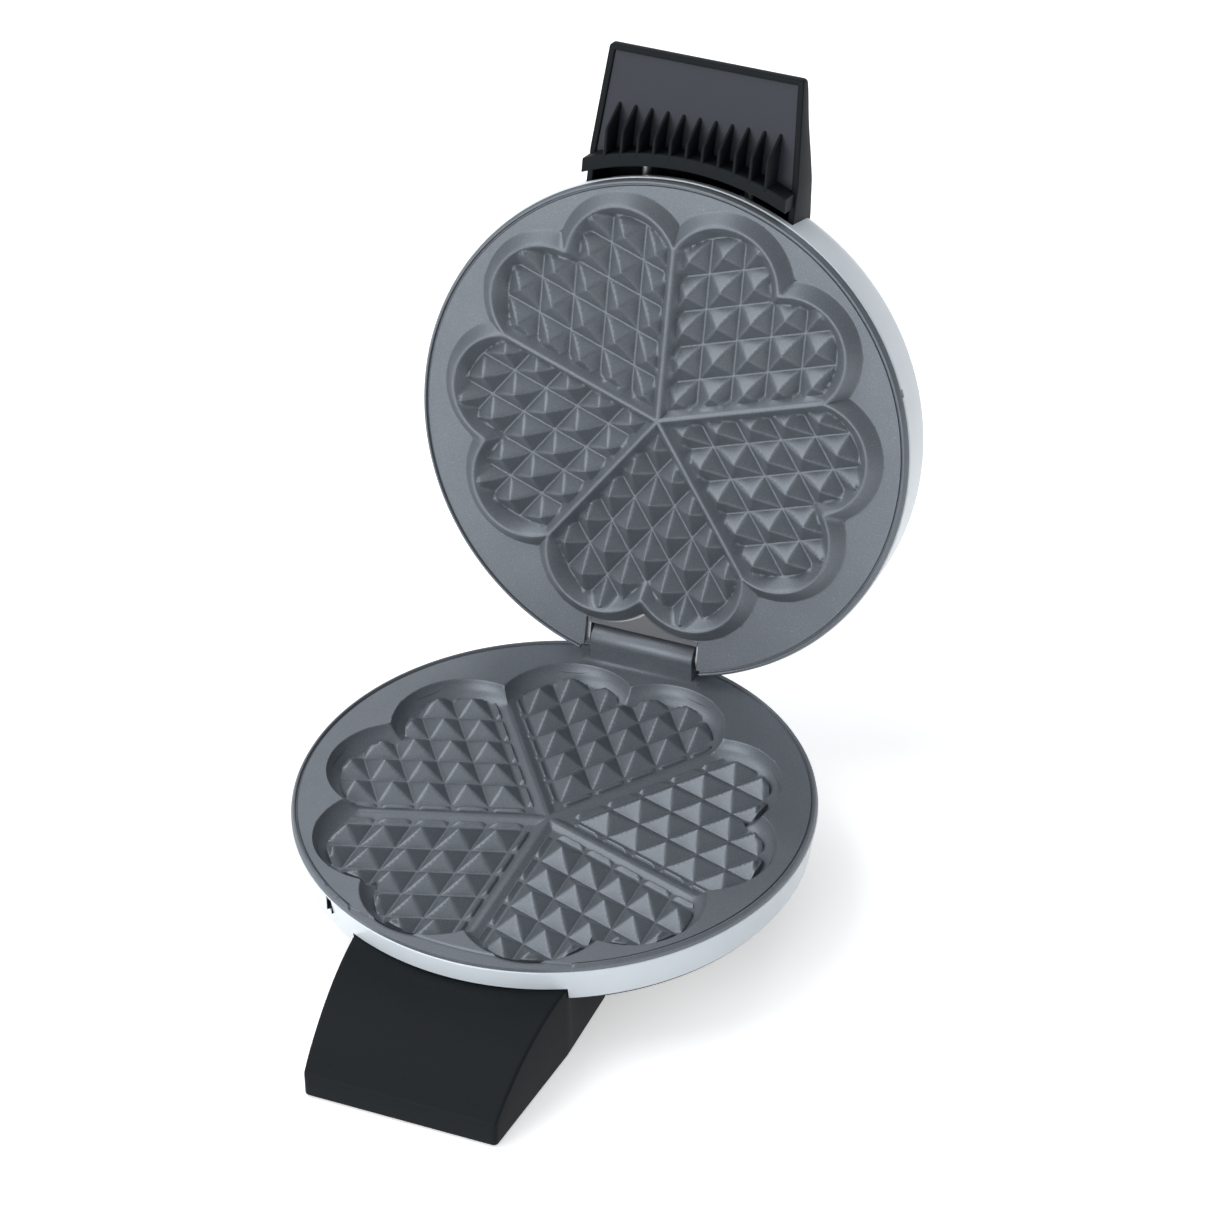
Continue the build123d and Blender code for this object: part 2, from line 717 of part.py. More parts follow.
def make_hinge_bracket():
    half = rivet_x + 4
    foot_top = lid_seat + bracket_thick
    bracket = block(-half, half, rivet_y - 4, hinge_y - barrel_radius - 0.9, lid_seat, foot_top)
    ear_radius = pin_radius + ear_wall
    ear_top = hinge_z + ear_radius
    arm_y = hinge_y - 13.2
    side = [(arm_y, lid_seat), (arm_y, foot_top), (arm_y + 4, ear_top)]
    side += [(hinge_y, ear_top), (hinge_y, lid_seat)]
    for way in (-1, 1):
        x0 = way * (ears_half - ear_thick)
        x1 = way * ears_half
        arm = block(x0, x1, arm_y, hinge_y, lid_seat, ear_top) & side_slab(side, rivet_x)
        ear = Pos((x0 + x1) / 2, hinge_y, hinge_z) * Rot(0, 90, 0) * Cylinder(ear_radius, ear_thick)
        bracket += arm + ear
    bracket -= along_x(hinge_y, hinge_z, 40, pin_radius + running_clearance)
    for x in (-rivet_x, rivet_x):
        bracket -= upright(x, rivet_y, lid_seat - 1, lid_seat + 3, rivet_radius + running_clearance)
    bracket -= countersunk(lid_seat, 5, 0.1)
    return bracket


def countersunk(z0, length, grow):
    """Flat screw that holds the bracket to the cover's post."""
    y = bracket_screw_y
    z1 = z0 + bracket_thick
    head = Pos(0, y, (z0 + z1) / 2) * Cone(screw_head + grow, screw_radius + grow, bracket_thick)
    return head + upright(0, y, z1, z1 + length, screw_radius + grow)


def hand_tip_y():
    return hand_top[-1][0] - 0.8


def hand_rim(y):
    """Height of the grip's lower rim, which rises toward the tip."""
    slope = (hand_rim_tip - hand_rim_root) / (hand_top[-1][0] - hand_rim_y)
    return hand_rim_root + slope * (y - hand_rim_y)


def hand_body(inset):
    """Wedge of the upper handle; inset gives the hollow inside it."""
    root_y = front_y + 30.5
    tip_y = hand_tip_y() + inset
    rim_back = hand_rim(root_y)
    drop = 3 if inset else 0
    top = [(root_y, hand_top[0][1] - inset)] + [(y, z - inset) for y, z in hand_top[:-1]]
    last_y, last_z = hand_top[-1]
    top += [(max(last_y, tip_y + 0.3), last_z - 0.9 * inset), (tip_y, last_z - 0.9 * inset - 0.8)]
    points = [(root_y, rim_back - drop)] + top + [(tip_y, hand_rim_tip - drop)]
    wedge = side_slab(points, hand_half_root + 20)
    tip_half, root_half = hand_half_tip - inset, hand_half_root - inset
    return wedge & grip_outline(flange, lid_top, tip_half, root_half, tip_y, hand_bend_y)


def make_upper_handle():
    seat = round_wall(hand_seat_radius, flange, lid_top + 5)
    body = hand_body(0) - seat
    body -= hand_body(hand_wall) - round_wall(hand_seat_radius + hand_skirt, flange, lid_top + 5)
    for x in (-hand_screw_x, hand_screw_x):
        body += along_y(x, hand_screw_z, hand_screw_y, hand_screw_y + 6.5, 4.6) - seat
        body -= along_y(x, hand_screw_z, hand_screw_y - 1.5, hand_screw_y + 10.5, screw_hole)
    foot = hand_rim_root - 2.2
    wide = hand_half_root + 20
    body -= block(-wide, wide, front_y - 9.5, front_y + 30.5, flange, foot)
    half = hand_half_root
    opening = block(-half, half, front_y - 20, front_y + 20, foot, hand_opening_top() - 0.2)
    body -= lid_body(0, lid_seat) - opening
    return largest(body)


def rib_profile(panel_low):
    back = rim_y - ledge_inner + 12
    end_z = hand_rim(rib_end_y) + panel_sink + 0.5
    return [(back, ledge_foot), (rib_kink_y, ledge_foot), (rib_end_y, end_z), (back, panel_low)]


def make_handle_insert():
    tip_y = hand_tip_y() + hand_wall + 0.15
    back_y = front_y + 10.5
    low = [(y, hand_rim(y) + panel_sink) for y in (tip_y, back_y)]
    high = [(y, z + panel_thick) for y, z in reversed(low)]
    panel = side_slab(low + high, hand_half_root + 20)
    fit = hand_wall + 0.15
    panel &= grip_outline(flange, lid_top, hand_half_tip - fit, hand_half_root - fit, tip_y, hand_bend_y)
    panel -= round_wall(ledge_inner, flange, lid_top)
    ledge_top = hand_rim_root + 2.6
    ledge = round_wall(ledge_outer, ledge_foot, ledge_top) - round_wall(ledge_inner, flange - 5, lid_top)
    ledge &= block(-ledge_half, ledge_half, front_y - 20, front_y + 10, ledge_foot, ledge_top)
    inside = hand_half_root - hand_wall - 0.2
    wide = hand_half_root + 20
    outer = block(-wide, wide, front_y - 30, front_y + 30, hand_rim_root - 0.8, lid_top)
    ledge -= outer - block(-inside, inside, front_y - 31, front_y + 31, flange, lid_top + 1)
    insert = panel + ledge
    profile = rib_profile(hand_rim_root + 3)
    for k in range(ribs):
        x = (k - (ribs - 1) / 2) * rib_pitch
        rib = Pos(x, 0, 0) * side_slab(profile, rib_thick / 2)
        insert += rib - round_wall(ledge_outer - 1, flange - 5, lid_top)
    return insert


def make_handle_screws():
    screws = []
    for x in (-hand_screw_x, hand_screw_x):
        head = along_y(x, hand_screw_z, hand_screw_y - screw_head_height, hand_screw_y, screw_head)
        shank = along_y(x, hand_screw_z, hand_screw_y - 0.5, hand_screw_y + 11.5, screw_radius - 0.02)
        screws.append(head + shank)
    return Compound(screws)


def make_thermostat():
    body = block(-10, 10, dial_y - 7, dial_y + 7, upper_back + 0.05, upper_back + thermostat_height)
    body += block(-14, 14, dial_y - 4, dial_y + 4, upper_back + 0.05, upper_back + 1.2)
    return body


def make_shaft():
    bottom = upper_back + thermostat_height + 0.05
    return upright(0, dial_y, bottom, lid_top + dial_height - 1.8, spindle_radius)


def make_dial():
    low = lid_top + dial_gap
    high = lid_top + dial_height
    dial = Pos(0, dial_y, (low + high) / 2) * Cylinder(dial_radius, high - low)
    dial = chamfer(dial.faces().sort_by(Axis.Z)[-1].edges(), 1.0)
    hollow = upright(0, dial_y, low - 1, high - 2, dial_radius - 1.8) - upright(0, dial_y, low - 2, high, 5.2)
    dial -= hollow
    for k in range(dial_grips):
        x, y, _ = turned(dial_radius + 0.6, 0, 0, (k + 0.5) * 360 / dial_grips)
        dial -= upright(x, dial_y + y, low - 1, high + 1, 1.6)
    dial -= upright(0, dial_y, low - 1, lid_top + dial_height - 1.78, spindle_radius + press_clearance)
    return dial


def make_lamp(x):
    lens = upright(x, dial_y, lid_top - 3, lid_top + 0.8, lamp_radius)
    return lens + upright(x, dial_y, lid_top - case_wall - 6, lid_top - case_wall - 0.02, lamp_radius + 1)


def make_cutout():
    body = upright(0, 0, plate_bottom - 5.4, plate_bottom - 0.05, 8.5)
    return body + block(-14, 14, -3, 3, plate_bottom - 1.2, plate_bottom - 0.05)


def make_terminal():
    floor = shell_bottom + shell_wall
    y0, y1 = terminal_y - terminal_depth, terminal_y + terminal_depth
    return block(-terminal_half, terminal_half, y0, y1, floor, floor + terminal_height)


def tail_holes():
    return [(x, y, tube_radius + 0.6) for x, y, _ in heater_ends()]


def make_lower_reflector():
    holes = [(x, y, screw_hole) for x, y, _ in post_spots()]
    return shield(plate_bottom, -1, holes + tail_holes())


def make_upper_reflector():
    holes = [(x, y, screw_hole) for x, y, _ in post_spots(60)]
    pan = shield(upper_back, 1, holes + tail_holes())
    return pan - block(-15, 15, dial_y - 8, dial_y + 8, upper_back + 1, upper_back + 12)


def make_reflector_screws():
    screws = []
    for x, y, _ in post_spots(60):
        head = upright(x, y, upper_shield_level, upper_shield_level + screw_head_height, screw_head)
        screws.append(head + upright(x, y, upper_shield_level - 5, upper_shield_level, screw_radius))
    return Compound(screws)


def make_grip_screws():
    return Compound([screw_up(x, grip_screw_y, grip_clear, 11) for x in (-grip_screw_x, grip_screw_x)])


def make_barrel_screws():
    low = base_seat - screw_head_height
    return Compound([screw_up(x, barrel_screw_y, low, 6) for x in (-barrel_screw_x, barrel_screw_x)])


os.makedirs("parts", exist_ok=True)

# Base
write(make_base_shell(), "base_shell")
write(make_lower_casing(), "lower_casing")
write(make_lower_plate(), "lower_plate")
write(heater(lower_tube_level, -1), "lower_heater")
write(make_lower_reflector(), "lower_reflector")
write(make_cutout(), "thermal_cutout")
write(make_terminal(), "terminal_block")
write(base_wiring(), "lower_wiring")
write(make_base_screws(), "base_screws")
write(make_lower_handle(), "lower_handle")
write(make_grip_screws(), "lower_handle_screws")
write(make_rubber_feet(), "rubber_feet")
write(make_cord_gland(), "cord_gland")
write(make_hinge_barrel(), "hinge_barrel")
write(make_barrel_screws(), "hinge_barrel_screws")
write(make_hinge_pin(), "hinge_pin")

# Lid
write_lid(make_lid_casing(), "lid_casing")
write_lid(make_upper_plate(), "upper_plate")
write_lid(make_hinge_panel(), "hinge_panel")
write_lid(make_hinge_bracket(), "lid_hinge_bracket")
write_lid(countersunk(lid_seat, 9, 0), "lid_hinge_screw")
write_lid(heater(upper_tube_level, 1), "upper_heater")
write_lid(make_upper_reflector(), "upper_reflector")
write_lid(make_reflector_screws(), "upper_reflector_screws")
write_lid(make_thermostat(), "thermostat")
write_lid(make_upper_handle(), "upper_handle")
write_lid(make_handle_insert(), "handle_insert")
write_lid(make_handle_screws(), "upper_handle_screws")
write_lid(make_lamp(-lamp_x), "heating_lamp")
write_lid(make_lamp(lamp_x), "ready_lamp")

# Dial
write_lid(make_shaft(), "thermostat_shaft")
write_lid(make_dial(), "browning_dial")
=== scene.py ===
# heart waffle maker, standing open on a table
import bpy, bmesh, json, math
import numpy as np
from mathutils import Matrix, Vector
from mathutils.geometry import delaunay_2d_cdt


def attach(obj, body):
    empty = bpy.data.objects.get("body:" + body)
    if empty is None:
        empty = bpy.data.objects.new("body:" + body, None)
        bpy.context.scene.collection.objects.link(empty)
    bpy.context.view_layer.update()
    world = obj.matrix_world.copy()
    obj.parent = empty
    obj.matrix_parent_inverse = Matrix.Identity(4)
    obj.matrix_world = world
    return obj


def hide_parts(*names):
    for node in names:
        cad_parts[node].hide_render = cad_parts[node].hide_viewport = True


mm = 0.001
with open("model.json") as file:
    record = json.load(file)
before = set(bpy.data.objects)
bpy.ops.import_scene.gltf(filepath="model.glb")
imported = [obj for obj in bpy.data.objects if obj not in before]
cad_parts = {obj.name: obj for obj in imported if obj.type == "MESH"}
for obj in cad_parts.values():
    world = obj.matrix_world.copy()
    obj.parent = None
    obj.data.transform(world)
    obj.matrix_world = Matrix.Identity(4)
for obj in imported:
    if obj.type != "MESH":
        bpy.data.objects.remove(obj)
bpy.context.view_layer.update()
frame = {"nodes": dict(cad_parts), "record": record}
nodes = frame["nodes"]
print("frame loaded:", len(nodes), "nodes")

hingeSpot = Vector((0, 93.2, 49.8)) * mm
lidOpen = math.radians(105)
lidTurn = Matrix.Translation(hingeSpot) @ Matrix.Rotation(-lidOpen, 4, "X") @ Matrix.Translation(-hingeSpot)
rimY = 5.5                         # the round outline sits a little toward the hinge
groups = frame["record"]["behaviour"]["bodies"]
lidNodes = groups["lid"] + groups["dial"]
baseFlange, lidFlange = 42.0, 43.6
baseSeat, lidSeat = 39.8, 45.8


# materials
def place(tree, kind, sockets=None, **settings):
    # makes a node and gives its outputs; a socket gets a value or the output that feeds it
    node = tree.nodes.new(kind)
    for key, value in settings.items():
        setattr(node, key, value)
    for key, value in (sockets or {}).items():
        if isinstance(value, bpy.types.NodeSocket):
            tree.links.new(value, node.inputs[key])
        else:
            node.inputs[key].default_value = value
    return node.outputs


def newGroup(kind, name, inputs, outputs):
    # node group with named sockets; gives the tree and the sockets of its inputs
    tree = bpy.data.node_groups.new(name, kind)
    for label, socketKind, value in inputs:
        socket = tree.interface.new_socket(label, in_out="INPUT", socket_type="NodeSocket" + socketKind)
        if value is not None:
            socket.default_value = value
    for label, socketKind in outputs:
        tree.interface.new_socket(label, in_out="OUTPUT", socket_type="NodeSocket" + socketKind)
    return tree, tree.nodes.new("NodeGroupInput").outputs


def calc(tree, operation, *values):
    return place(tree, "ShaderNodeMath", dict(enumerate(values)), operation=operation)[0]


def makeSpeckle():
    # fine flecks and pores of a sprayed non-stick coat
    tree, given = newGroup(
        "ShaderNodeTree", "coatSpeckle",
        [("Base", "Color", (0.1, 0.1, 0.1, 1)), ("Fleck", "Color", (0.3, 0.3, 0.3, 1)),
         ("Scale", "Float", 2600.0), ("Amount", "Float", 0.5)],
        [("Color", "Color"), ("Rough", "Float"), ("Height", "Float")])
    spot = place(tree, "ShaderNodeTexCoord")["Object"]
    fine = place(tree, "ShaderNodeTexNoise", {
        "Vector": spot, "Scale": given["Scale"], "Detail": 2.0, "Roughness": 0.6})["Fac"]
    cloud = place(tree, "ShaderNodeTexNoise", {"Vector": spot, "Scale": 55.0, "Detail": 3.0})["Fac"]
    fleck = place(tree, "ShaderNodeMapRange", {"Value": fine, "From Min": 0.52, "From Max": 0.72})
    share = calc(tree, "MULTIPLY", fleck["Result"], given["Amount"])
    mix = place(tree, "ShaderNodeMix", {
        "Factor": share, "A": given["Base"], "B": given["Fleck"]}, data_type="RGBA")
    soft = place(tree, "ShaderNodeMapRange", {"Value": cloud, "To Min": 0.9, "To Max": 1.1})
    tint = place(tree, "ShaderNodeVectorMath", {
        0: mix["Result"], "Scale": soft["Result"]}, operation="SCALE")
    rough = place(tree, "ShaderNodeMapRange", {"Value": fine, "To Min": 0.37, "To Max": 0.52})
    place(tree, "NodeGroupOutput", {
        "Color": tint["Vector"], "Rough": rough["Result"], "Height": fine})
    return tree


def makeGrain():
    # leather-like grain of a moulded plastic, with a soft drift in its gloss
    tree, given = newGroup(
        "ShaderNodeTree", "mouldGrain",
        [("Color", "Color", (0.02, 0.02, 0.02, 1)), ("Scale", "Float", 1800.0),
         ("Rough", "Float", 0.45), ("Drift", "Float", 0.08)],
        [("Color", "Color"), ("Rough", "Float"), ("Height", "Float")])
    spot = place(tree, "ShaderNodeTexCoord")["Object"]
    cells = place(tree, "ShaderNodeTexVoronoi", {
        "Vector": spot, "Scale": given["Scale"]}, feature="SMOOTH_F1")
    broad = place(tree, "ShaderNodeTexNoise", {"Vector": spot, "Scale": 38.0, "Detail": 4.0})["Fac"]
    rough = calc(tree, "MULTIPLY_ADD", calc(tree, "SUBTRACT", broad, 0.5), given["Drift"], given["Rough"])
    tone = place(tree, "ShaderNodeMapRange", {"Value": broad, "To Min": 0.92, "To Max": 1.08})
    tint = place(tree, "ShaderNodeVectorMath", {
        0: given["Color"], "Scale": tone["Result"]}, operation="SCALE")
    place(tree, "NodeGroupOutput", {
        "Color": tint["Vector"], "Rough": rough, "Height": cells["Distance"]})
    return tree


def surface(name, group, given, bump, looks):
    # material whose colour, gloss and relief come from a group, the rest from the shader's own sockets
    mat = bpy.data.materials.new(name)
    mat.use_nodes = True
    tree = mat.node_tree
    tree.nodes.clear()
    made = place(tree, "ShaderNodeGroup", given, node_tree=group)
    relief = place(tree, "ShaderNodeBump", {"Strength": bump, "Distance": 0.0001, "Height": made["Height"]})
    shader = place(tree, "ShaderNodeBsdfPrincipled", {
        "Base Color": made["Color"], "Roughness": made["Rough"], "Normal": relief["Normal"], **looks})
    place(tree, "ShaderNodeOutputMaterial", {"Surface": shader["BSDF"]})
    return mat


grain = makeGrain()
mats = {"coating": surface(
    "non-stick coating", makeSpeckle(),
    {"Base": (0.152, 0.168, 0.189, 1), "Fleck": (0.29, 0.318, 0.35, 1), "Amount": 0.5}, 0.24,
    {"Metallic": 0.5, "Specular IOR Level": 0.35})}
grained = {
    # colour, roughness, grain's scale, bump, gloss drift, coat, metal, specular
    "white": ("white lacquered cover", (0.73, 0.79, 0.84), 0.3, 900.0, 0.03, 0.05, 0.25, 0.0, 0.5),
    "black": ("black moulded plastic", (0.0135, 0.016, 0.0185), 0.5, 2200.0, 0.2, 0.08, 0.0, 0.0, 0.06),
    "panel": ("smooth black panel", (0.034, 0.039, 0.050), 0.38, 1200.0, 0.06, 0.08, 0.0, 0.0, 0.15),
    "print": ("printed black ink", (0.02, 0.02, 0.022), 0.5, 900.0, 0.05, 0.08, 0.0, 0.0, 0.5),
    "steel": ("zinc steel", (0.55, 0.55, 0.54), 0.34, 700.0, 0.05, 0.15, 0.0, 1.0, 0.5),
    "tube": ("heater tube", (0.21, 0.21, 0.20), 0.42, 900.0, 0.1, 0.2, 0.0, 0.9, 0.5),
    "shield": ("aluminised sheet", (0.62, 0.63, 0.64), 0.36, 500.0, 0.05, 0.2, 0.0, 1.0, 0.5),
    "terminal": ("terminal plastic", (0.66, 0.63, 0.55), 0.5, 900.0, 0.1, 0.08, 0.0, 0.0, 0.5),
    "sleeve": ("woven wire sleeve", (0.62, 0.57, 0.46), 0.7, 2600.0, 0.5, 0.08, 0.0, 0.0, 0.5),
    "rubber": ("black rubber", (0.018, 0.018, 0.019), 0.78, 1400.0, 0.3, 0.08, 0.0, 0.0, 0.5),
    "redLens": ("red lens", (0.55, 0.03, 0.02), 0.16, 500.0, 0.02, 0.04, 0.5, 0.0, 0.5),
    "greenLens": ("green lens", (0.03, 0.34, 0.08), 0.16, 500.0, 0.02, 0.04, 0.5, 0.0, 0.5),
}
for key, (label, color, rough, scale, bump, drift, coat, metal, specular) in grained.items():
    mats[key] = surface(
        label, grain, {"Color": (*color, 1), "Scale": scale, "Rough": rough, "Drift": drift}, bump,
        {"Coat Weight": coat, "Coat Roughness": 0.12, "Specular IOR Level": specular, "Metallic": metal})
slotMats = {
    "white_cover": "white", "plate_coating": "coating", "black_plastic": "black", "steel": "steel",
    "heater_tube": "tube", "shield_metal": "shield", "terminal_plastic": "terminal", "wire_sleeve": "sleeve",
    "rubber_black": "rubber", "lamp_red": "redLens", "lamp_green": "greenLens",
}
for slot in frame["record"].get("materials", []):
    for nodeName in slot.get("nodes", []):
        nodes[nodeName].data.materials.clear()
        nodes[nodeName].data.materials.append(mats[slotMats[slot["slot"]]])
print("materials made:", len(mats))


# mesh helpers; shapes are drawn in millimetres with the lid closed
def meshOf(verts, faces, outward=True):
    mesh = bpy.data.meshes.new("shape")
    mesh.from_pydata([Vector(v) * mm for v in verts], [], faces)
    if outward:
        work = bmesh.new()
        work.from_mesh(mesh)
        bmesh.ops.recalc_face_normals(work, faces=work.faces)
        work.to_mesh(mesh)
        work.free()
    return mesh


def linked(name, mesh):
    made = bpy.data.objects.new(name, mesh)
    bpy.context.scene.collection.objects.link(made)
    return made


def show(name, mesh, mat, crease, body, slot, *replaced):
    # a finished mesh becomes a piece; what rides with the lid is turned open
    if body != "base":
        mesh.transform(lidTurn)
    mesh.name = name
    mesh.materials.clear()
    mesh.materials.append(mats[mat])
    mesh.polygons.foreach_set("use_smooth", [True] * len(mesh.polygons))
    mesh.set_sharp_from_angle(angle=math.radians(crease))
    mesh.update()
    piece = linked(name, mesh)
    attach(piece, body)
    if replaced:
        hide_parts(*replaced)


def evaluated(holder):
    # plain mesh of an object with its modifiers applied
    bpy.context.view_layer.update()
    graph = bpy.context.evaluated_depsgraph_get()
    return bpy.data.meshes.new_from_object(holder.evaluated_get(graph))


def bakeNodes(mesh, tree, values):
    # runs a Geometry Nodes tree over a mesh and gives the plain result
    holder = linked("holder", mesh)
    modifier = holder.modifiers.new("nodes", "NODES")
    modifier.node_group = tree
    for item in tree.interface.items_tree:
        if item.in_out == "INPUT" and item.name in values:
            modifier[item.identifier] = values[item.name]
    baked = evaluated(holder)
    holder.modifiers.remove(modifier)
    bpy.data.objects.remove(holder)
    return baked


def softMax(a, b, k):
    h = np.clip(0.5 + 0.5 * (a - b) / k, 0, 1)
    return b * (1 - h) + a * h + k * h * (1 - h)


def softMin(a, b, k):
    return -softMax(-a, -b, k)


def blurred(x, xs, zs, width=0.3):
    return (np.interp(x - width, xs, zs) + 2 * np.interp(x, xs, zs) + np.interp(x + width, xs, zs)) / 4


def circle(radius, count, x=0.0, y=rimY):
    turns = [2 * math.pi * k / count for k in range(count)]
    return [(x + radius * math.cos(a), y + radius * math.sin(a)) for a in turns]


def skin(rows, wrap=False):
    # faces between neighbouring rings of vertex numbers; repeated numbers at a pole give triangles
    faces = []
    for low, high in zip(rows, rows[1:] + rows[:1] if wrap else rows[1:]):
        for k in range(len(low)):
            n = (k + 1) % len(low)
            ring = [low[k], low[n], high[n], high[k]]
            ring = [v for j, v in enumerate(ring) if v != ring[j - 1]]
            if len(set(ring)) > 2:
                faces.append(tuple(ring))
    return faces


def swept(outlines):
    # solid through a row of equal outlines, capped at both ends
    count = len(outlines[0])
    rows = [list(range(k * count, (k + 1) * count)) for k in range(len(outlines))]
    verts = [tuple(point) for outline in outlines for point in outline]
    return verts, skin(rows) + [tuple(reversed(rows[0])), tuple(rows[-1])]


def shrunk(outline, middle, amount):
    # an outline of (across, height) points drawn in toward its middle
    spots = []
    for point in outline:
        way = Vector(point) - Vector(middle)
        spots.append(Vector(point) - way.normalized() * amount)
    return spots


# the two cooking plates
plateDims = {
    "hearts": 5, "lobeX": 17.5, "lobeY": 57.5, "outline": 26.7, "edge": 2.2, "dividerStart": 26.0,
    "pitch": 12.9, "cellHalf": 5.8, "cellStep": 0.28, "ridge": 0.22,
    "offsets": [0, 0.22, 0.6, 1.2, 2.2, 3.3, 4.5, 5.4, 5.7, 5.82, 5.94, 6.1],
    "upper": {
        "way": -1, "phase": 6.45, "floor": -0.6, "tall": 5.7, "reach": 19.9,
        "wall": ([16.7, 21.2], [-0.6, 5.1]), "outer": ([22.0, 26.5], [5.1, 0.0]),
        "divider": ([0.6, 4.4], [5.1, -0.6]),
        "rings": [16.7, 20.9, 21.3, 21.7, 22.1, 22.5, 23.2, 24.2, 25.2, 25.9, 26.3],
        "dividerLines": [0.3, 0.7, 1.1, 4.1, 4.6], "latticeTo": 20.6,
    },
    "lower": {
        "way": 1, "phase": 0.0, "floor": -6.7, "tall": 5.15, "reach": 22.5,
        "wall": ([18.0, 19.3, 21.5, 23.3, 24.7, 25.6, 26.3, 26.5],
                 [-6.7, -6.65, -6.2, -5.25, -3.9, -2.5, -0.9, 0.0]), "outer": None,
        "divider": ([0.9, 3.5], [-5.25, -6.7]), "sliverFrom": 3.55,
        "clear": ([16.7, 21.05, 21.6, 21.75], [1.7, -3.75, -3.9, -6.9]),
        "rings": [21.6, 21.76, 22.4, 23.3, 24.0, 24.7, 25.0, 25.6, 26.0, 26.35, 26.5],
        "dividerLines": [0.45, 0.9, 1.3, 3.0, 3.45, 3.8, 4.2], "latticeTo": 21.5,
    },
}
lobeX, lobeY, pitch = plateDims["lobeX"], plateDims["lobeY"], plateDims["pitch"]
sinD, cosD = math.sin(math.radians(54)), math.cos(math.radians(54))
edgeNear = lobeX * cosD + lobeY * sinD        # lobe's place along the divider
edgeOff = lobeY * cosD - lobeX * sinD         # and its distance from it


def lobeDistance(x, y):
    # how far a point lies from the lobe's middle line; its contours are hearts
    u = y * cosD - x * sinD
    s = x * cosD + y * sinD
    along = np.hypot(np.maximum(s - edgeNear, 0), edgeOff - u)
    soft = np.clip(2.4 - (y - 64.5) / 6.5 * 2.1, 0.3, 3.0)       # rounds the notch between the lobes
    nose = np.where(y < lobeY, 0.0, np.hypot(y - lobeY, np.hypot(x, soft) - lobeX))
    return np.where(u < edgeOff, along, nose)


def spikeHeight(u, v, d, p):
    # pyramids on the 54 degree lattice of lines u and v
    cell, step, ridge = plateDims["cellHalf"], plateDims["cellStep"], plateDims["ridge"]
    uc, vc = (p["phase"] + np.floor((w - p["phase"]) / pitch + 0.5) * pitch for w in (u, v))
    xc, yc = (vc - uc) / (2 * sinD), (uc + vc) / (2 * cosD)
    nearLobe = np.minimum(np.hypot(xc - lobeX, yc - lobeY), np.hypot(xc + lobeX, yc - lobeY))
    used = (nearLobe < p["reach"]) | (yc < lobeY)
    across = softMax(np.hypot(u - uc, ridge), np.hypot(v - vc, ridge), 0.4) - ridge
    spike = p["floor"] + step + (p["tall"] - step) * (1 - across / cell)
    spike -= np.clip((across - cell) / 0.12, 0, 1) * (step + 0.6)
    if p["phase"] != 0:
        return np.where(used, spike, -99)
    used &= (uc > 1) & (vc > 1)
    sliver = np.minimum(p["floor"] + p["tall"] * (1 - np.maximum(u, np.abs(v - vc)) / cell),
                        p["floor"] + (u - p["sliverFrom"]) * 5)
    spike = np.where(used, spike, np.where((uc < 1) & (vc > 1) & (u > 3), sliver, -99))
    return np.minimum(spike, np.interp(d, *p["clear"]))          # leaves room for the lid's heart outline


def heartHeight(x, y, p):
    # height over the flange's plane, in the folded half of one heart (x >= 0)
    u = y * cosD - x * sinD
    v = y * cosD + x * sinD
    d = lobeDistance(x, y)
    low = softMax(spikeHeight(u, v, d, p), np.full_like(u, p["floor"]), 0.1)
    z = softMax(softMax(blurred(d, *p["wall"]), blurred(u, *p["divider"], 0.35), 0.5), low, 0.25)
    if p["outer"]:
        near, far = np.hypot(x - lobeX, y - lobeY), np.hypot(x + lobeX, y - lobeY)
        give = np.clip(3.4 - (d - 22.0) * 0.72, 0.15, 3.4)       # the valley at the nose is rounded
        lobes = softMax(blurred(near, *p["outer"]), blurred(far, *p["outer"]), give)
        slope = np.where((u < edgeOff) | (y < lobeY), blurred(d, *p["outer"]), lobes)
        z = softMin(z, slope, 0.35)
    return z


def arcPoint(d, t):
    # a point on the heart contour d, t from the divider (0) to the nose (1)
    s = edgeNear + math.sqrt(max(d * d - edgeOff ** 2, 0))
    a0 = math.atan2(s * sinD - lobeY, s * cosD - lobeX)
    a1 = math.acos(max(-1, min(1, -(lobeX - 0.25) / d)))
    a = a0 + (a1 - a0) * t
    return lobeX + d * math.cos(a), lobeY + d * math.sin(a)


def contour(d, step):
    # the contour d from the divider's line to the middle line
    if d >= edgeOff:
        count = max(int(d * 2.2 / step), 8)
        return [arcPoint(d, k / count) for k in range(count + 1)]
    points, u = [], edgeOff - d
    for k in range(math.ceil((edgeNear - plateDims["dividerStart"]) / step)):
        s = plateDims["dividerStart"] + k * step
        points.append((s * cosD - u * sinD, s * sinD + u * cosD))
    base = math.radians(54 - 90)
    a1 = math.acos(max(-1, min(1, -(lobeX - 0.25) / max(d, 17.4))))
    count = int(d * (a1 - base) / step)
    angles = [base + (a1 - base) * k / count for k in range(count + 1)]
    points += [(lobeX + d * math.cos(a), lobeY + d * math.sin(a)) for a in angles]
    return [q for q in points if q[0] > 0.05]


def latticeLines(p):
    # mesh lines along the pyramids' flanks; those of the divider win over near ones
    lines = set()
    for k in range(-1, 9):
        centre = p["phase"] + k * pitch
        for offset in plateDims["offsets"]:
            lines.update((round(centre + offset, 4), round(centre - offset, 4)))
        lines.add(round(centre + pitch / 2, 4))
    near = p["dividerLines"]
    apart = [v for v in lines if v > 0.2 and min(abs(v - n) for n in near) > 0.21]
    return [0.0] + sorted(near + apart)


def addPath(points, edges, path, closed=False):
    # adds a line that the triangulation has to follow
    start, count = len(points), len(path)
    points += path
    edges += [(start + k, start + (k + 1) % count) for k in range(count if closed else count - 1)]
    return start


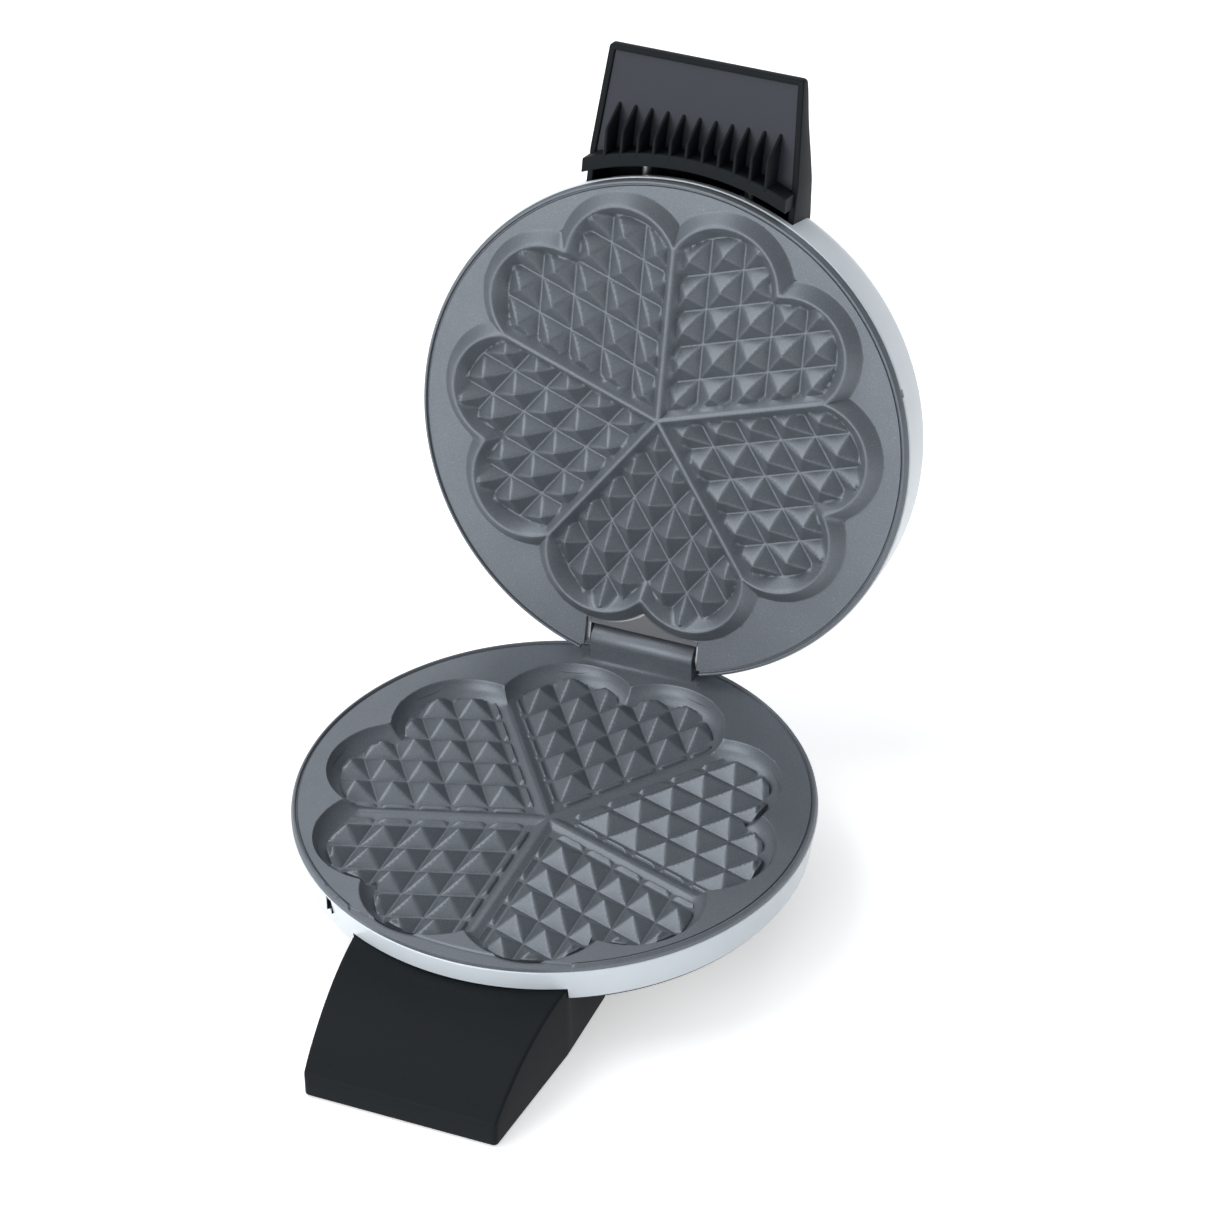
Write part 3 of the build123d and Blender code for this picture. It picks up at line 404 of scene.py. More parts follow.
def triangulated(points, edges):
    verts, _, tris, _, _, _ = delaunay_2d_cdt([Vector(q) for q in points], edges, [], 0, 1e-4)
    return np.array([(v.x, v.y) for v in verts]), np.array(tris)


def heartSector(p):
    # triangulates one half of a heart along its ridges, then mirrors it
    lines = latticeLines(p)
    points, index, edges = [], {}, []
    outlineAt = plateDims["outline"]
    outline = contour(outlineAt, 0.8)
    cuspS = math.hypot(*outline[0])
    for i, u in enumerate(lines):
        for j, v in enumerate(lines):
            if v < u - 1e-6:
                continue
            x, y = (v - u) / (2 * sinD), (u + v) / (2 * cosD)
            if y > 90:
                break
            limit = outlineAt - 0.35 if u == 0 else p["latticeTo"]
            if lobeDistance(x, y) > limit or (u == 0 and y / sinD > cuspS - 0.3):
                continue
            index[i, j] = len(points)
            points.append((x, y))
    for i in range(len(lines)):
        if (i, i) in index and (i + 1, i + 1) in index:
            edges.append((index[i, i], index[i + 1, i + 1]))      # the heart's middle line

    def fromCentre(a, b):
        nearest = round((0.5 * (a + b) - p["phase"]) / pitch) * pitch + p["phase"]
        return abs(a - nearest), abs(b - nearest)

    for (i, j), a in index.items():
        for step in (1, -1):
            b = index.get((i + 1, j + step))
            if b is None or i == j:
                continue
            u0, u1 = fromCentre(lines[i], lines[i + 1])
            v0, v1 = fromCentre(lines[j], lines[j + step])
            if abs(u0 - v0) < 1e-3 and abs(u1 - v1) < 1e-3:
                edges.append((a, b))                              # a ridge of a pyramid
    for d in p["rings"]:
        ring = [(x, y) for x, y in contour(d, 0.75) if y * cosD - x * sinD > 0.05 and x > 0.02]
        addPath(points, edges, ring)
    cusp = addPath(points, edges, outline[:-1] + [(0.0, outline[-1][1])])
    notch = len(points) - 1
    for y in np.arange(math.ceil(points[notch][1]) - 1, 60, -0.7):
        if lobeDistance(0.0, y) > p["latticeTo"]:
            points.append((0.0, y))
    edges += [(index[0, 0], notch), (index[0, 0], cusp)]
    flat, tris = triangulated(points, edges)
    centre = flat[tris].mean(axis=1)
    d = lobeDistance(np.abs(centre[:, 0]), centre[:, 1])
    u = centre[:, 1] * cosD - centre[:, 0] * sinD
    area = np.cross(flat[tris[:, 1]] - flat[tris[:, 0]], flat[tris[:, 2]] - flat[tris[:, 0]])
    tris = tris[(d < outlineAt) & (u > 0) & (centre[:, 0] > 0) & (np.abs(area) > 1e-6)]
    z = heartHeight(np.abs(flat[:, 0]), flat[:, 1], p)
    far = lobeDistance(np.abs(flat[:, 0]), flat[:, 1]) > outlineAt - 0.02
    right = np.column_stack([flat, np.where(far, 0.0, z)])
    left = right * np.array([-1, 1, 1])
    return np.vstack([right, left]), np.vstack([tris, tris[:, ::-1] + len(right)]), outline


def spread(tree, points, given, **turn):
    # the given piece on each of the points, made real
    copies = place(tree, "GeometryNodeInstanceOnPoints", {
        "Points": points["Mesh"], "Instance": given["Geometry"], **turn})
    return place(tree, "GeometryNodeRealizeInstances", {"Geometry": copies["Instances"]})


def painted(tree, shape, mat):
    paint = place(tree, "GeometryNodeSetMaterial", {"Geometry": shape["Geometry"], "Material": mat})
    place(tree, "NodeGroupOutput", {"Geometry": paint["Geometry"]})
    return tree


def turnTree(mat):
    # turns one heart into the ring of hearts
    tree, given = newGroup(
        "GeometryNodeTree", "heartRing",
        [("Geometry", "Geometry", None), ("Hearts", "Int", 5), ("Weld", "Float", 2e-6)],
        [("Geometry", "Geometry")])
    line = place(tree, "GeometryNodeMeshLine", {"Count": given["Hearts"], "Offset": (0, 0, 0)})
    angle = calc(tree, "MULTIPLY", place(tree, "GeometryNodeInputIndex")[0],
                 calc(tree, "DIVIDE", 2 * math.pi, given["Hearts"]))
    spin = place(tree, "ShaderNodeCombineXYZ", {"Z": angle})
    real = spread(tree, line, given, Rotation=spin["Vector"])
    weld = place(tree, "GeometryNodeMergeByDistance", {
        "Geometry": real["Geometry"], "Distance": given["Weld"]})
    return painted(tree, weld, mat)


# flat land and rim of both plates: groove, raised lip, worn outer edge
landDims = {
    "ring": 92.9, "count": 720,
    "r": [92.9, 93.1, 93.2, 93.35, 93.8, 93.95, 94.03, 94.15, 94.3, 94.65, 94.82, 95.0, 95.25, 95.5],
    "z": [0, 0, -0.55, -0.7, -0.7, -0.5, 0.38, 0.56, 0.6, 0.6, 0.5, 0.1, -0.4, -0.8], "grooveFrom": 93.08,
    "stepY": 57, "stepRadii": (140.8, 141.2), "shelfSides": (42.7, 43.3), "shelfDrop": 0.8,
    "slotTurn": -33.7, "notchHalf": 4.5, "seatHalf": 23.0, "seatFrom": 86.1, "seatTop": 0.6,
    "cutHalf": 22.6, "cutRadius": 26.9,
}


def ramp(x, low, high):
    return np.clip((x - low) / (high - low), 0, 1)


def flangeHeight(x, y, upper):
    c = landDims
    r = np.hypot(x, y - rimY)
    z = np.interp(r, c["r"], c["z"])
    if upper:
        return z
    front = ramp(-np.abs(x), -c["shelfSides"][1], -c["shelfSides"][0]) * (y < 0)
    shelf = ramp(np.hypot(x, y - c["stepY"]), *c["stepRadii"]) * front
    edge = np.interp(r, [94.9, 95.2, 95.5], [0, -0.1, -c["shelfDrop"]])
    z = z * (1 - front) + np.minimum(edge, 0) * front
    z = z * (1 - shelf) + np.minimum(-c["shelfDrop"], edge) * shelf
    notch = np.radians(-90 + c["slotTurn"])
    across = np.abs(-x * np.sin(notch) + (y - rimY) * np.cos(notch))
    ahead = x * np.cos(notch) + (y - rimY) * np.sin(notch) > 0
    z = np.where(ahead & (across < c["notchHalf"]) & (r > 93), np.minimum(z, 0), z)
    seat = (np.abs(x) < c["seatHalf"] + 0.2) & (y > c["seatFrom"] - 0.1) & (r < 94.95)
    return np.where(seat, c["seatTop"], z)


def mirrored(path):
    # a path from right to left over the middle, from its right half
    return path + [(-x, y) for x, y in reversed(path[:-1])]


def cutoutLine():
    # opening of the upper plate at the hinge, from right to left
    radius = landDims["cutRadius"]
    a0, a1 = math.acos((landDims["cutHalf"] - lobeX) / radius), math.acos(-lobeX / radius)
    angles = [a0 + (a1 - a0) * k / 24 for k in range(25)]
    return mirrored([(lobeX + radius * math.cos(a), lobeY + radius * math.sin(a)) for a in angles])


def cutSide():
    return [(landDims["cutHalf"], y) for y in np.linspace(92.0, 84.6, 6)]


def lowerLines(points, edges):
    # steps of the front shelf and of the hinge's seat
    c = landDims
    for r in c["stepRadii"]:
        span = np.linspace(-c["shelfSides"][0], c["shelfSides"][0], 60)
        addPath(points, edges, [(x, c["stepY"] - math.sqrt(r * r - x * x)) for x in span])
    for x in (-c["shelfSides"][1], -c["shelfSides"][0], *c["shelfSides"]):
        low = rimY - math.sqrt(c["ring"] ** 2 - x * x) + 0.3
        addPath(points, edges, [(x, y) for y in np.linspace(low, -76.5, 8)])
    for grow in (0.0, 0.4):
        half, near = c["seatHalf"] + grow, c["seatFrom"] - grow
        addPath(points, edges, [(-half, 89.5), (-half, near), (half, near), (half, 89.5)])


def flangeMesh(outline, upper):
    # flat land between the hearts and the rim, then the rim's rings
    c, count = landDims, landDims["count"]
    turns = [math.radians(72 * k) for k in range(plateDims["hearts"])]
    points, edges = [], []

    def turned(path, a, side=1):
        return [(side * x * math.cos(a) - y * math.sin(a), side * x * math.sin(a) + y * math.cos(a))
                for x, y in path]

    whole = mirrored(outline[:-1] + [(0.0, outline[-1][1])])
    addPath(points, edges, [q for a in turns for q in turned(whole[:-1], a)], True)
    angles = [2 * math.pi * (k + 0.5) / count for k in range(count)]
    for r in (c["ring"], c["ring"] - 0.5):
        addPath(points, edges, [(r * math.cos(a), rimY + r * math.sin(a)) for a in angles], True)
    guard = [q for q in contour(plateDims["outline"] + 0.5, 1.2)
             if lobeDistance(*q) > plateDims["outline"] + 0.45]
    for a in turns:
        for side in (-1, 1):
            addPath(points, edges, turned(guard, a, side))
    if upper:
        addPath(points, edges, cutSide() + cutoutLine() + [(-x, y) for x, y in reversed(cutSide())])
    else:
        lowerLines(points, edges)
    flat, tris = triangulated(points, edges)
    centre = flat[tris].mean(axis=1)
    fold = np.radians((np.degrees(np.arctan2(centre[:, 1], centre[:, 0])) - 90 + 36) % 72 - 36)
    reach = np.hypot(centre[:, 0], centre[:, 1])
    d = lobeDistance(np.abs(reach * np.sin(fold)), reach * np.cos(fold))
    keep = (d > plateDims["outline"] - 0.05) & (np.hypot(centre[:, 0], centre[:, 1] - rimY) < c["ring"])
    keep &= reach > 60
    if upper:
        outside = np.hypot(np.abs(centre[:, 0]) - lobeX, centre[:, 1] - lobeY) > c["cutRadius"]
        keep &= ~(outside & (np.abs(centre[:, 0]) < c["cutHalf"]) & (centre[:, 1] > 77))
    radii = [c["ring"], c["grooveFrom"]] + c["r"][2:]
    rim = np.array([(r * math.cos(a), rimY + r * math.sin(a)) for r in radii for a in angles])
    land = np.column_stack([flat, flangeHeight(flat[:, 0], flat[:, 1], upper)])
    rim = np.column_stack([rim, flangeHeight(rim[:, 0], rim[:, 1], upper)])
    low = rim[-count:] * np.array([1, 1, 0]) - np.array([0, 0, plateDims["edge"]])
    verts, first = np.vstack([land, rim, low]), len(land)
    faces = tris[keep].tolist()
    for i in range(len(radii)):
        for k in range(count):
            a, b = first + i * count + k, first + i * count + (k + 1) % count
            if upper and abs(verts[a][0] + verts[b][0]) < 48 and verts[a][1] > 0:
                continue
            faces.append((a, a + count, b + count, b) if i < len(radii) - 1 else (a, b, b + count, a + count))
    return verts, faces


def plateBack(nodeName, upper):
    # machined and cast faces behind the flange, from a merged copy of the node, with the lid turned closed
    work = bmesh.new()
    work.from_mesh(nodes[nodeName].data)
    close = lidTurn.inverted() if nodeName in lidNodes else Matrix.Identity(4)
    move = Matrix.Scale(1 / mm, 4) @ close @ nodes[nodeName].matrix_world
    bmesh.ops.transform(work, matrix=move, verts=work.verts)
    bmesh.ops.remove_doubles(work, verts=work.verts, dist=1e-3)
    work.normal_update()
    faces = []
    for f in work.faces:
        c = f.calc_center_median()
        outside = math.hypot(c.x, c.y) > 84.4 and f.normal.z < 0.1 and c.z < baseSeat + 0.01
        if c.z > lidSeat - 0.01 if upper else c.z < 34.6 or outside:
            faces.append([tuple(v.co) for v in f.verts])
    work.free()
    return faces


def platePiece(name, p, level, body, node, upper):
    verts, tris, outline = heartSector(p)
    half = meshOf(verts, tris.tolist(), False)
    work = bmesh.new()
    work.from_mesh(half)
    bmesh.ops.remove_doubles(work, verts=work.verts, dist=2e-6)
    work.to_mesh(half)
    work.free()
    ring = bakeNodes(half, turnTree(mats["coating"]), {"Hearts": plateDims["hearts"], "Weld": 2e-6})
    landVerts, landFaces = flangeMesh(outline, upper)
    work = bmesh.new()
    work.from_mesh(ring)
    spots = [work.verts.new(Vector(v) * mm) for v in landVerts]
    for f in landFaces:
        work.faces.new([spots[i] for i in f])
    bmesh.ops.remove_doubles(work, verts=work.verts, dist=1e-5)
    if upper:
        start = [(landDims["cutHalf"], 94.6)] + cutSide()
        wall = start + cutoutLine() + [(-x, y) for x, y in reversed(start)]
        rows = [[work.verts.new(Vector((x, y, h)) * mm) for x, y in wall] for h in (0.0, lidFlange - lidSeat)]
        for k in range(len(wall) - 1):
            work.faces.new([rows[0][k], rows[1][k], rows[1][k + 1], rows[0][k + 1]])
    bmesh.ops.delete(work, geom=[v for v in work.verts if not v.link_faces], context="VERTS")
    bmesh.ops.recalc_face_normals(work, faces=work.faces)
    if sum(f.normal.z * f.calc_area() for f in work.faces) < 0:
        bmesh.ops.reverse_faces(work, faces=work.faces)
    move = Matrix.Translation((0, 0, level * mm)) @ Matrix.Diagonal((1, 1, p["way"], 1))
    bmesh.ops.transform(work, matrix=move, verts=work.verts)
    if upper:
        bmesh.ops.reverse_faces(work, faces=work.faces)
    backVerts = {}
    for corners in plateBack(node, upper):
        back = []
        for corner in corners:
            key = tuple(round(value, 3) for value in corner)
            if key not in backVerts:
                backVerts[key] = work.verts.new(Vector(corner) * mm)
            back.append(backVerts[key])
        if len(set(back)) == len(back):
            work.faces.new(back)
    work.to_mesh(ring)
    work.free()
    print(name, "triangles about", sum(len(f.vertices) - 2 for f in ring.polygons))
    show(name, ring, "coating", 60, body, "plate_coating", node)


platePiece("lowerPlateDressed", plateDims["lower"], baseFlange, "base", "lower_plate", False)
platePiece("upperPlateDressed", plateDims["upper"], lidFlange, "lid", "upper_plate", True)


# turned housings
def filleted(corners, steps=5):
    # closed profile from (across, height, radius) corners, each rounded by an arc
    points, n = [], len(corners)
    for k, (x, z, radius) in enumerate(corners):
        here = Vector((x, z))
        before = (Vector(corners[k - 1][:2]) - here).normalized()
        after = (Vector(corners[(k + 1) % n][:2]) - here).normalized()
        if radius <= 0:
            points.append((x, z))
            continue
        half = before.angle(after) / 2
        back = radius / math.tan(half)
        middle = here + (before + after).normalized() * radius / math.sin(half)
        start, end = here + before * back - middle, here + after * back - middle
        turn = start.angle_signed(end)
        for i in range(steps + 1):
            spot = middle + Matrix.Rotation(-turn * i / steps, 2) @ start
            points.append((spot.x, spot.y))
    return points


def turnedRows(rows):
    # skin through rows of (x, y) points at a height; a row of one point is a pole
    verts, rings, count = [], [], max(len(row) for row, _ in rows)
    for row, z in rows:
        start = len(verts)
        rings.append(list(range(start, start + count)) if len(row) > 1 else [start] * count)
        verts += [(x, y, z) for x, y in row]
    return verts, rings


def revolved(profile, count=240):
    # full turn of a closed profile of (radius, height) about the rim's centre
    verts, rings = turnedRows([(circle(r, count) if r > 1e-6 else [(0.0, rimY)], z) for r, z in profile])
    return verts, skin(rings, True)


def boxMesh(x0, x1, y0, y1, z0, z1, turn=0.0):
    # a box; with a turn its y counts outwards from the rim's centre
    spots = [(x, y, z) for x in (x0, x1) for y in (y0, y1) for z in (z0, z1)]
    a = math.radians(turn)
    if turn:
        spots = [(x * math.cos(a) - y * math.sin(a), rimY + x * math.sin(a) + y * math.cos(a), z)
                 for x, y, z in spots]
    return spots, [(0, 1, 3, 2), (4, 6, 7, 5), (0, 4, 5, 1), (2, 3, 7, 6), (0, 2, 6, 4), (1, 5, 7, 3)]


def rodMesh(x, y, z0, z1, radius, count=40):
    ring = circle(radius, count, x, y)
    return swept([[(px, py, z) for px, py in ring] for z in (z0, z1)])


def joined(*parts):
    verts, faces = [], []
    for partVerts, partFaces in parts:
        faces += [tuple(i + len(verts) for i in f) for f in partFaces]
        verts += [tuple(v) for v in partVerts]
    return verts, faces


def carved(solid, cutters):
    # takes the cutters out of a closed mesh
    holder, tools = linked("solid", meshOf(*solid)), linked("tools", meshOf(*joined(*cutters)))
    cut = holder.modifiers.new("cut", "BOOLEAN")
    cut.operation, cut.solver, cut.object = "DIFFERENCE", "EXACT", tools
    mesh = evaluated(holder)
    bpy.data.objects.remove(holder)
    bpy.data.objects.remove(tools)
    return mesh


casingDims = {
    "radius": 96.0, "wall": 2.2, "foot": 26.2, "footRadius": 93.6, "ledge": 88.0,
    # liner and collar size the black pieces that paint the shade inside the slot
    "gripHalf": 41.4, "gripTop": 31.3, "slotHalf": 1.75, "slotFrom": 7.3, "liner": 0.35,
    "collar": (90.1, 90.9), "collarFoot": 28.3,
    "shoulder": 93.5, "top": 76.0, "round": 14.0, "handHalf": 40.65, "handLow": 49.1, "handHigh": 69.2,
    "hingeHalf": 24.6, "hingeTop": 63.0, "notchTurn": 69.4, "dialY": -52.0, "dialHole": 3.6,
    "lampX": 23.0, "lampHole": 3.05,
}


def lowerCasing():
    c = casingDims
    inner = c["radius"] - c["wall"]
    profile = filleted([
        (c["ledge"], c["foot"], 0.3), (c["footRadius"], c["foot"], 0.5), (c["radius"] - 0.12, baseSeat, 0.45),
        (inner, baseSeat, 0.2), (c["footRadius"] - c["wall"], c["foot"] + 2, 0.5),
        (c["ledge"], c["foot"] + 2, 0.3)])
    half, low = c["slotHalf"], c["foot"] + c["slotFrom"]
    ring = carved(revolved(profile, 360), [
        boxMesh(-c["gripHalf"], c["gripHalf"], -110, -70, c["foot"] - 1, c["gripTop"]),
        boxMesh(-half, half, -100, -86, low, baseSeat - 0.3, landDims["slotTurn"])])
    show("lowerRing", ring, "white", 35, "base", "white_cover", "lower_casing")
    # painted shade: a black collar behind the slot, with a liner on each side of it, stands in for the shade
    # inside the slot
    near, far = c["collar"]
    foot, top = c["collarFoot"], baseSeat - 0.4
    corners = [(near, foot, 0.2), (far, foot, 0.2), (far, top, 0.2), (near, top, 0.2)]
    parts = [revolved(filleted(corners))]
    for x in (0.01 - half, half - 0.01 - c["liner"]):
        parts.append(boxMesh(x, x + c["liner"], -95.6, -91.0, low, top, landDims["slotTurn"]))
    show("slotLiner", meshOf(*joined(*parts)), "black", 40, "base", "black_plastic")


def lidCover():
    c = casingDims
    wall, top, y = c["wall"], c["top"], c["dialY"]
    outer = filleted([(0, lidSeat, 0), (c["radius"], lidSeat, 0.5), (c["shoulder"], top, c["round"] - 0.4),
                      (0, top, 0)], 16)[1:]
    inner = filleted([(0, top - wall, 0), (c["shoulder"] - wall, top - wall, c["round"]),
                      (c["radius"] - wall, lidSeat, 0.3), (0, lidSeat, 0)], 16)[:-1]
    cutters = [
        boxMesh(-c["handHalf"], c["handHalf"], -110, -70, c["handLow"], c["handHigh"]),
        boxMesh(-c["hingeHalf"], c["hingeHalf"], 89.2, 108, lidSeat - 1, c["hingeTop"]),
        boxMesh(-1.5, 1.5, -98, -90, lidSeat - 1, lidSeat + 1.2, c["notchTurn"])]
    for x, radius in ((0, c["dialHole"]), (-c["lampX"], c["lampHole"]), (c["lampX"], c["lampHole"])):
        cutters.append(rodMesh(x, y, top - 6, top + 2, radius))
    cover = carved(revolved(outer + inner, 360), cutters)
    show("lidCover", cover, "white", 35, "lid", "white_cover", "lid_casing")


# the two grips
def smoothLine(x, xs, ys):
    # smooth monotone curve through a few points
    xs, ys = np.array(xs, float), np.array(ys, float)
    h, slope = np.diff(xs), np.diff(ys) / np.diff(xs)
    tangent = np.zeros(len(xs))
    for k in range(1, len(xs) - 1):
        if slope[k - 1] * slope[k] > 0:
            a, b = 2 * h[k] + h[k - 1], h[k] + 2 * h[k - 1]
            tangent[k] = (a + b) / (a / slope[k - 1] + b / slope[k])
    tangent[0], tangent[-1] = slope[0], slope[-1]
    x = np.clip(x, xs[0], xs[-1])
    i = np.clip(np.searchsorted(xs, x) - 1, 0, len(xs) - 2)
    t = (x - xs[i]) / h[i]
    return ((2 * t ** 3 - 3 * t ** 2 + 1) * ys[i] + (t ** 3 - 2 * t ** 2 + t) * h[i] * tangent[i]
            + (3 * t ** 2 - 2 * t ** 3) * ys[i + 1] + (t ** 3 - t ** 2) * h[i] * tangent[i + 1])


nearEdge = [0.0, 0.08, 0.25, 0.5, 0.85, 1.3, 1.9, 2.6, 3.6]


def gripPlan(g, inset=0.0):
    # grid of plan points from the tip to the back, and their distances to the rim
    last, tip = nearEdge[-1], g["tipY"] + inset
    columns = [(-1, o) for o in nearEdge] + [(0, f) for f in np.linspace(-1, 1, 33)[1:-1]]
    columns += [(1, o) for o in nearEdge[::-1]]
    corner = max(g["corner"] - inset, 0.3)
    grid, reach = [], []
    for k in range(len(nearEdge) + len(g["backSteps"])):
        row, far = [], []
        for side, value in columns:
            guess = (side or value) * (g["rootHalf"] - inset)
            back = g["back"](guess) - (inset if g["closedBack"] else 0)
            y = tip + nearEdge[k] if k < len(nearEdge) else (
                tip + last + (back - tip - last) * g["backSteps"][k - len(nearEdge)])
            t = min(max((y - g["tipY"]) / (g["rootY"] - g["tipY"]), 0), 1)
            half = g["tipHalf"] + (g["rootHalf"] - g["tipHalf"]) * t - inset
            x = side * (half - value) if side else value * (half - last)
            toSide, toTip = value if side else half - abs(x), y - tip
            distance = min(toSide, toTip)
            a, b = corner - toSide, corner - toTip
            if a > 0 and b > 0:
                shrink = max(a, b) / math.hypot(a, b)
                distance = corner - max(a, b)
                x += (a - a * shrink) * (1 if x < 0 else -1)
                y += b - b * shrink
            row.append((x, y))
            far.append(distance)
        grid.append(row)
        reach.append(far)
    return np.array(grid), np.array(reach)


def border(rows, columns):
    # the grid's outline, once around
    ring = [(0, j) for j in range(columns)] + [(i, columns - 1) for i in range(1, rows)]
    ring += [(rows - 1, j) for j in range(columns - 2, -1, -1)]
    return ring + [(i, 0) for i in range(rows - 2, 0, -1)]


def gripShell(g):
    # outer skin, walls with a rounded rim, and the hollow inside, as one closed mesh
    verts, faces = [], []
    wall, soft, rim = g["wall"], g["soft"], g["rim"]
    outer, reach = gripPlan(g)
    rows, columns = reach.shape
    ring = border(rows, columns)

    def addGrid(plan, height):
        start = len(verts)
        verts.extend(np.column_stack([plan.reshape(-1, 2), height.ravel()]).tolist())
        for i in range(rows - 1):
            for j in range(columns - 1):
                a = start + i * columns + j
                faces.append((a, a + 1, a + columns + 1, a + columns))
        return [start + i * columns + j for i, j in ring]

    def addLoop(plan, lift):
        start = len(verts)
        for i, j in ring:
            x, y = plan[i, j]
            verts.append((x, y, rim(y) + lift))
        return list(range(start, len(verts)))

    e = np.clip(soft - reach, 0, soft)
    drop = soft - np.sqrt(soft ** 2 - e ** 2)
    loops = [addGrid(outer, g["top"](outer[..., 0], outer[..., 1]) - drop)]
    rounding = [(0.0, 0.55), (0.06, 0.28), (0.2, 0.08), (0.45, 0.0)]
    for inset, lift in rounding + [(wall - inset, lift) for inset, lift in rounding[::-1]]:
        loops.append(addLoop(gripPlan(g, inset)[0], lift))
    inner, _ = gripPlan(g, wall)
    ceiling = np.maximum(g["top"](inner[..., 0], inner[..., 1]) - wall - 0.1, rim(inner[..., 1]) + 0.9)
    loops.append(addGrid(inner, ceiling))
    return verts, faces + skin(loops)


def rimBack(radius):
    return lambda x: rimY - math.sqrt(radius ** 2 - min(abs(x), radius - 1) ** 2)


def lowerTop(x, y):
    # the wedge's curve, kept under the dish where it runs below the ring
    r = np.hypot(x, y - rimY)
    curve = smoothLine(y, *lowerCurve)
    cone = 8.0 + np.clip(r - 68.0, 0, None) * (17.0 / 24.5)
    return np.where(r < 92.5, np.minimum(cone, curve), curve) - 0.02


lowerCurve = ([-133.0, -126.5, -120, -113, -105, -96, -88, -80, -46],
              [9.9, 15.3, 19.4, 23.1, 26.4, 29.0, 30.4, 30.98, 31.0])
lowerGripDims = {
    "tipY": -133.0, "rootY": -80.0, "tipHalf": 36.8, "rootHalf": 41.0,
    "corner": 1.6, "soft": 1.1, "wall": 2.5, "closedBack": True, "back": lambda x: -46.0,
    "top": lowerTop, "rim": lambda y: 0.8 + 0 * y,
    "backSteps": [*np.linspace(0.03, 0.36, 22), *np.linspace(0.37, 0.62, 60),
                  0.66, 0.72, 0.8, 0.88, 0.94, 1.0],
}


def upperTop(x, y):
    return smoothLine(y, *upperCurve) - 0.02


upperCurve = ([-133.3, -131.5, -117, -101, -86, -78, -60], [59.2, 60.15, 62.3, 66.0, 68.8, 70.0, 70.3])
upperGripDims = {
    "tipY": -133.3, "rootY": -94.0, "tipHalf": 37.6, "rootHalf": 40.5,
    "corner": 1.4, "soft": 1.2, "wall": 2.4, "closedBack": False, "back": rimBack(91.25),
    "top": upperTop, "backSteps": [*np.linspace(0.04, 1.0, 40)],
    "rim": lambda y: 51.5 + (y + 92.0) * (3.5 / -40.5),
}


def makeGrips():
    parts = [gripShell(lowerGripDims)]
    parts += [rodMesh(x, -124, 2.6, 13.5, 5.0) for x in (-28, 28)]
    parts += [rodMesh(x, -52, 3.0, 7.6, 4.4) for x in (-20, 20)]
    show("lowerGrip", meshOf(*joined(*parts)), "black", 50, "base", "black_plastic", "lower_handle")
    upper = meshOf(*gripShell(upperGripDims))
    show("upperGrip", upper, "black", 50, "lid", "black_plastic", "upper_handle")


# panel, ledge and ribs under the upper grip
insertDims = {
    "inset": 2.52, "sink": 0.9, "thick": 1.0, "ledgeIn": 100.5, "ledgeOut": 105.5, "ledgeHalf": 39.5,
    "stemHalf": 37.7, "ledgeFoot": 42.5, "ledgeTop": 51.0, "stemTop": 53.6,
    "ribs": 11, "pitch": 6.25, "ribThick": 1.15, "ribBack": -98.0, "ribKink": -105.0, "ribBend": 49.6,
    "ribEnd": -110.9, "ribMiddle": (-101.5, 49.0),
}


def insertPanel():
    g = dict(upperGripDims, back=rimBack(insertDims["ledgeIn"] + 2.0))
    plan, _ = gripPlan(g, insertDims["inset"])
    rows, columns = plan.shape[:2]
    low = g["rim"](plan[..., 1]) + insertDims["sink"]
    verts, faces, n = [], [], rows * columns
    for lift in (0.0, insertDims["thick"]):
        verts += np.column_stack([plan.reshape(-1, 2), (low + lift).ravel()]).tolist()
    for a in (i * columns + j for i in range(rows - 1) for j in range(columns - 1)):
        quad = (a, a + columns, a + columns + 1, a + 1)
        faces += [quad, tuple(n + v for v in (quad[0], quad[3], quad[2], quad[1]))]
    ring = [i * columns + j for i, j in border(rows, columns)]
    return verts, faces + skin([ring, [n + v for v in ring]])


def insertLedge(half, low, high):
    # a bar that follows the rim's arc
    near, far = insertDims["ledgeIn"], insertDims["ledgeOut"]
    profile = filleted([(near, low, 0.5), (far, low, 0.7), (far, high, 0.3), (near, high, 0.3)])
    return swept([[(x, rimY - math.sqrt(r * r - x * x), z) for r, z in profile]
                  for x in np.linspace(-half, half, 61)])


def ribMesh():
    # one rib in the middle: foot, soft kink, bend and slanting tip, with rounded edges
    i = insertDims
    top = upperGripDims["rim"](i["ribEnd"]) + i["sink"] + 0.3
    outline = filleted([(i["ribBack"], i["ledgeFoot"], 0), (i["ribKink"], i["ledgeFoot"], 2.4),
                        (i["ribEnd"] + 1.2, i["ribBend"], 3.2), (i["ribEnd"] - 1.6, top, 0),
                        (i["ribBack"], top - 1.0, 0)], 6)
    half = i["ribThick"] / 2
    layers = [(-half, 0.35), (-half + 0.12, 0.12), (-half + 0.35, 0.0)]
    layers += [(-x, shrink) for x, shrink in reversed(layers)]
    return swept([[(x, s.x, s.y) for s in shrunk(outline, i["ribMiddle"], shrink)] for x, shrink in layers])


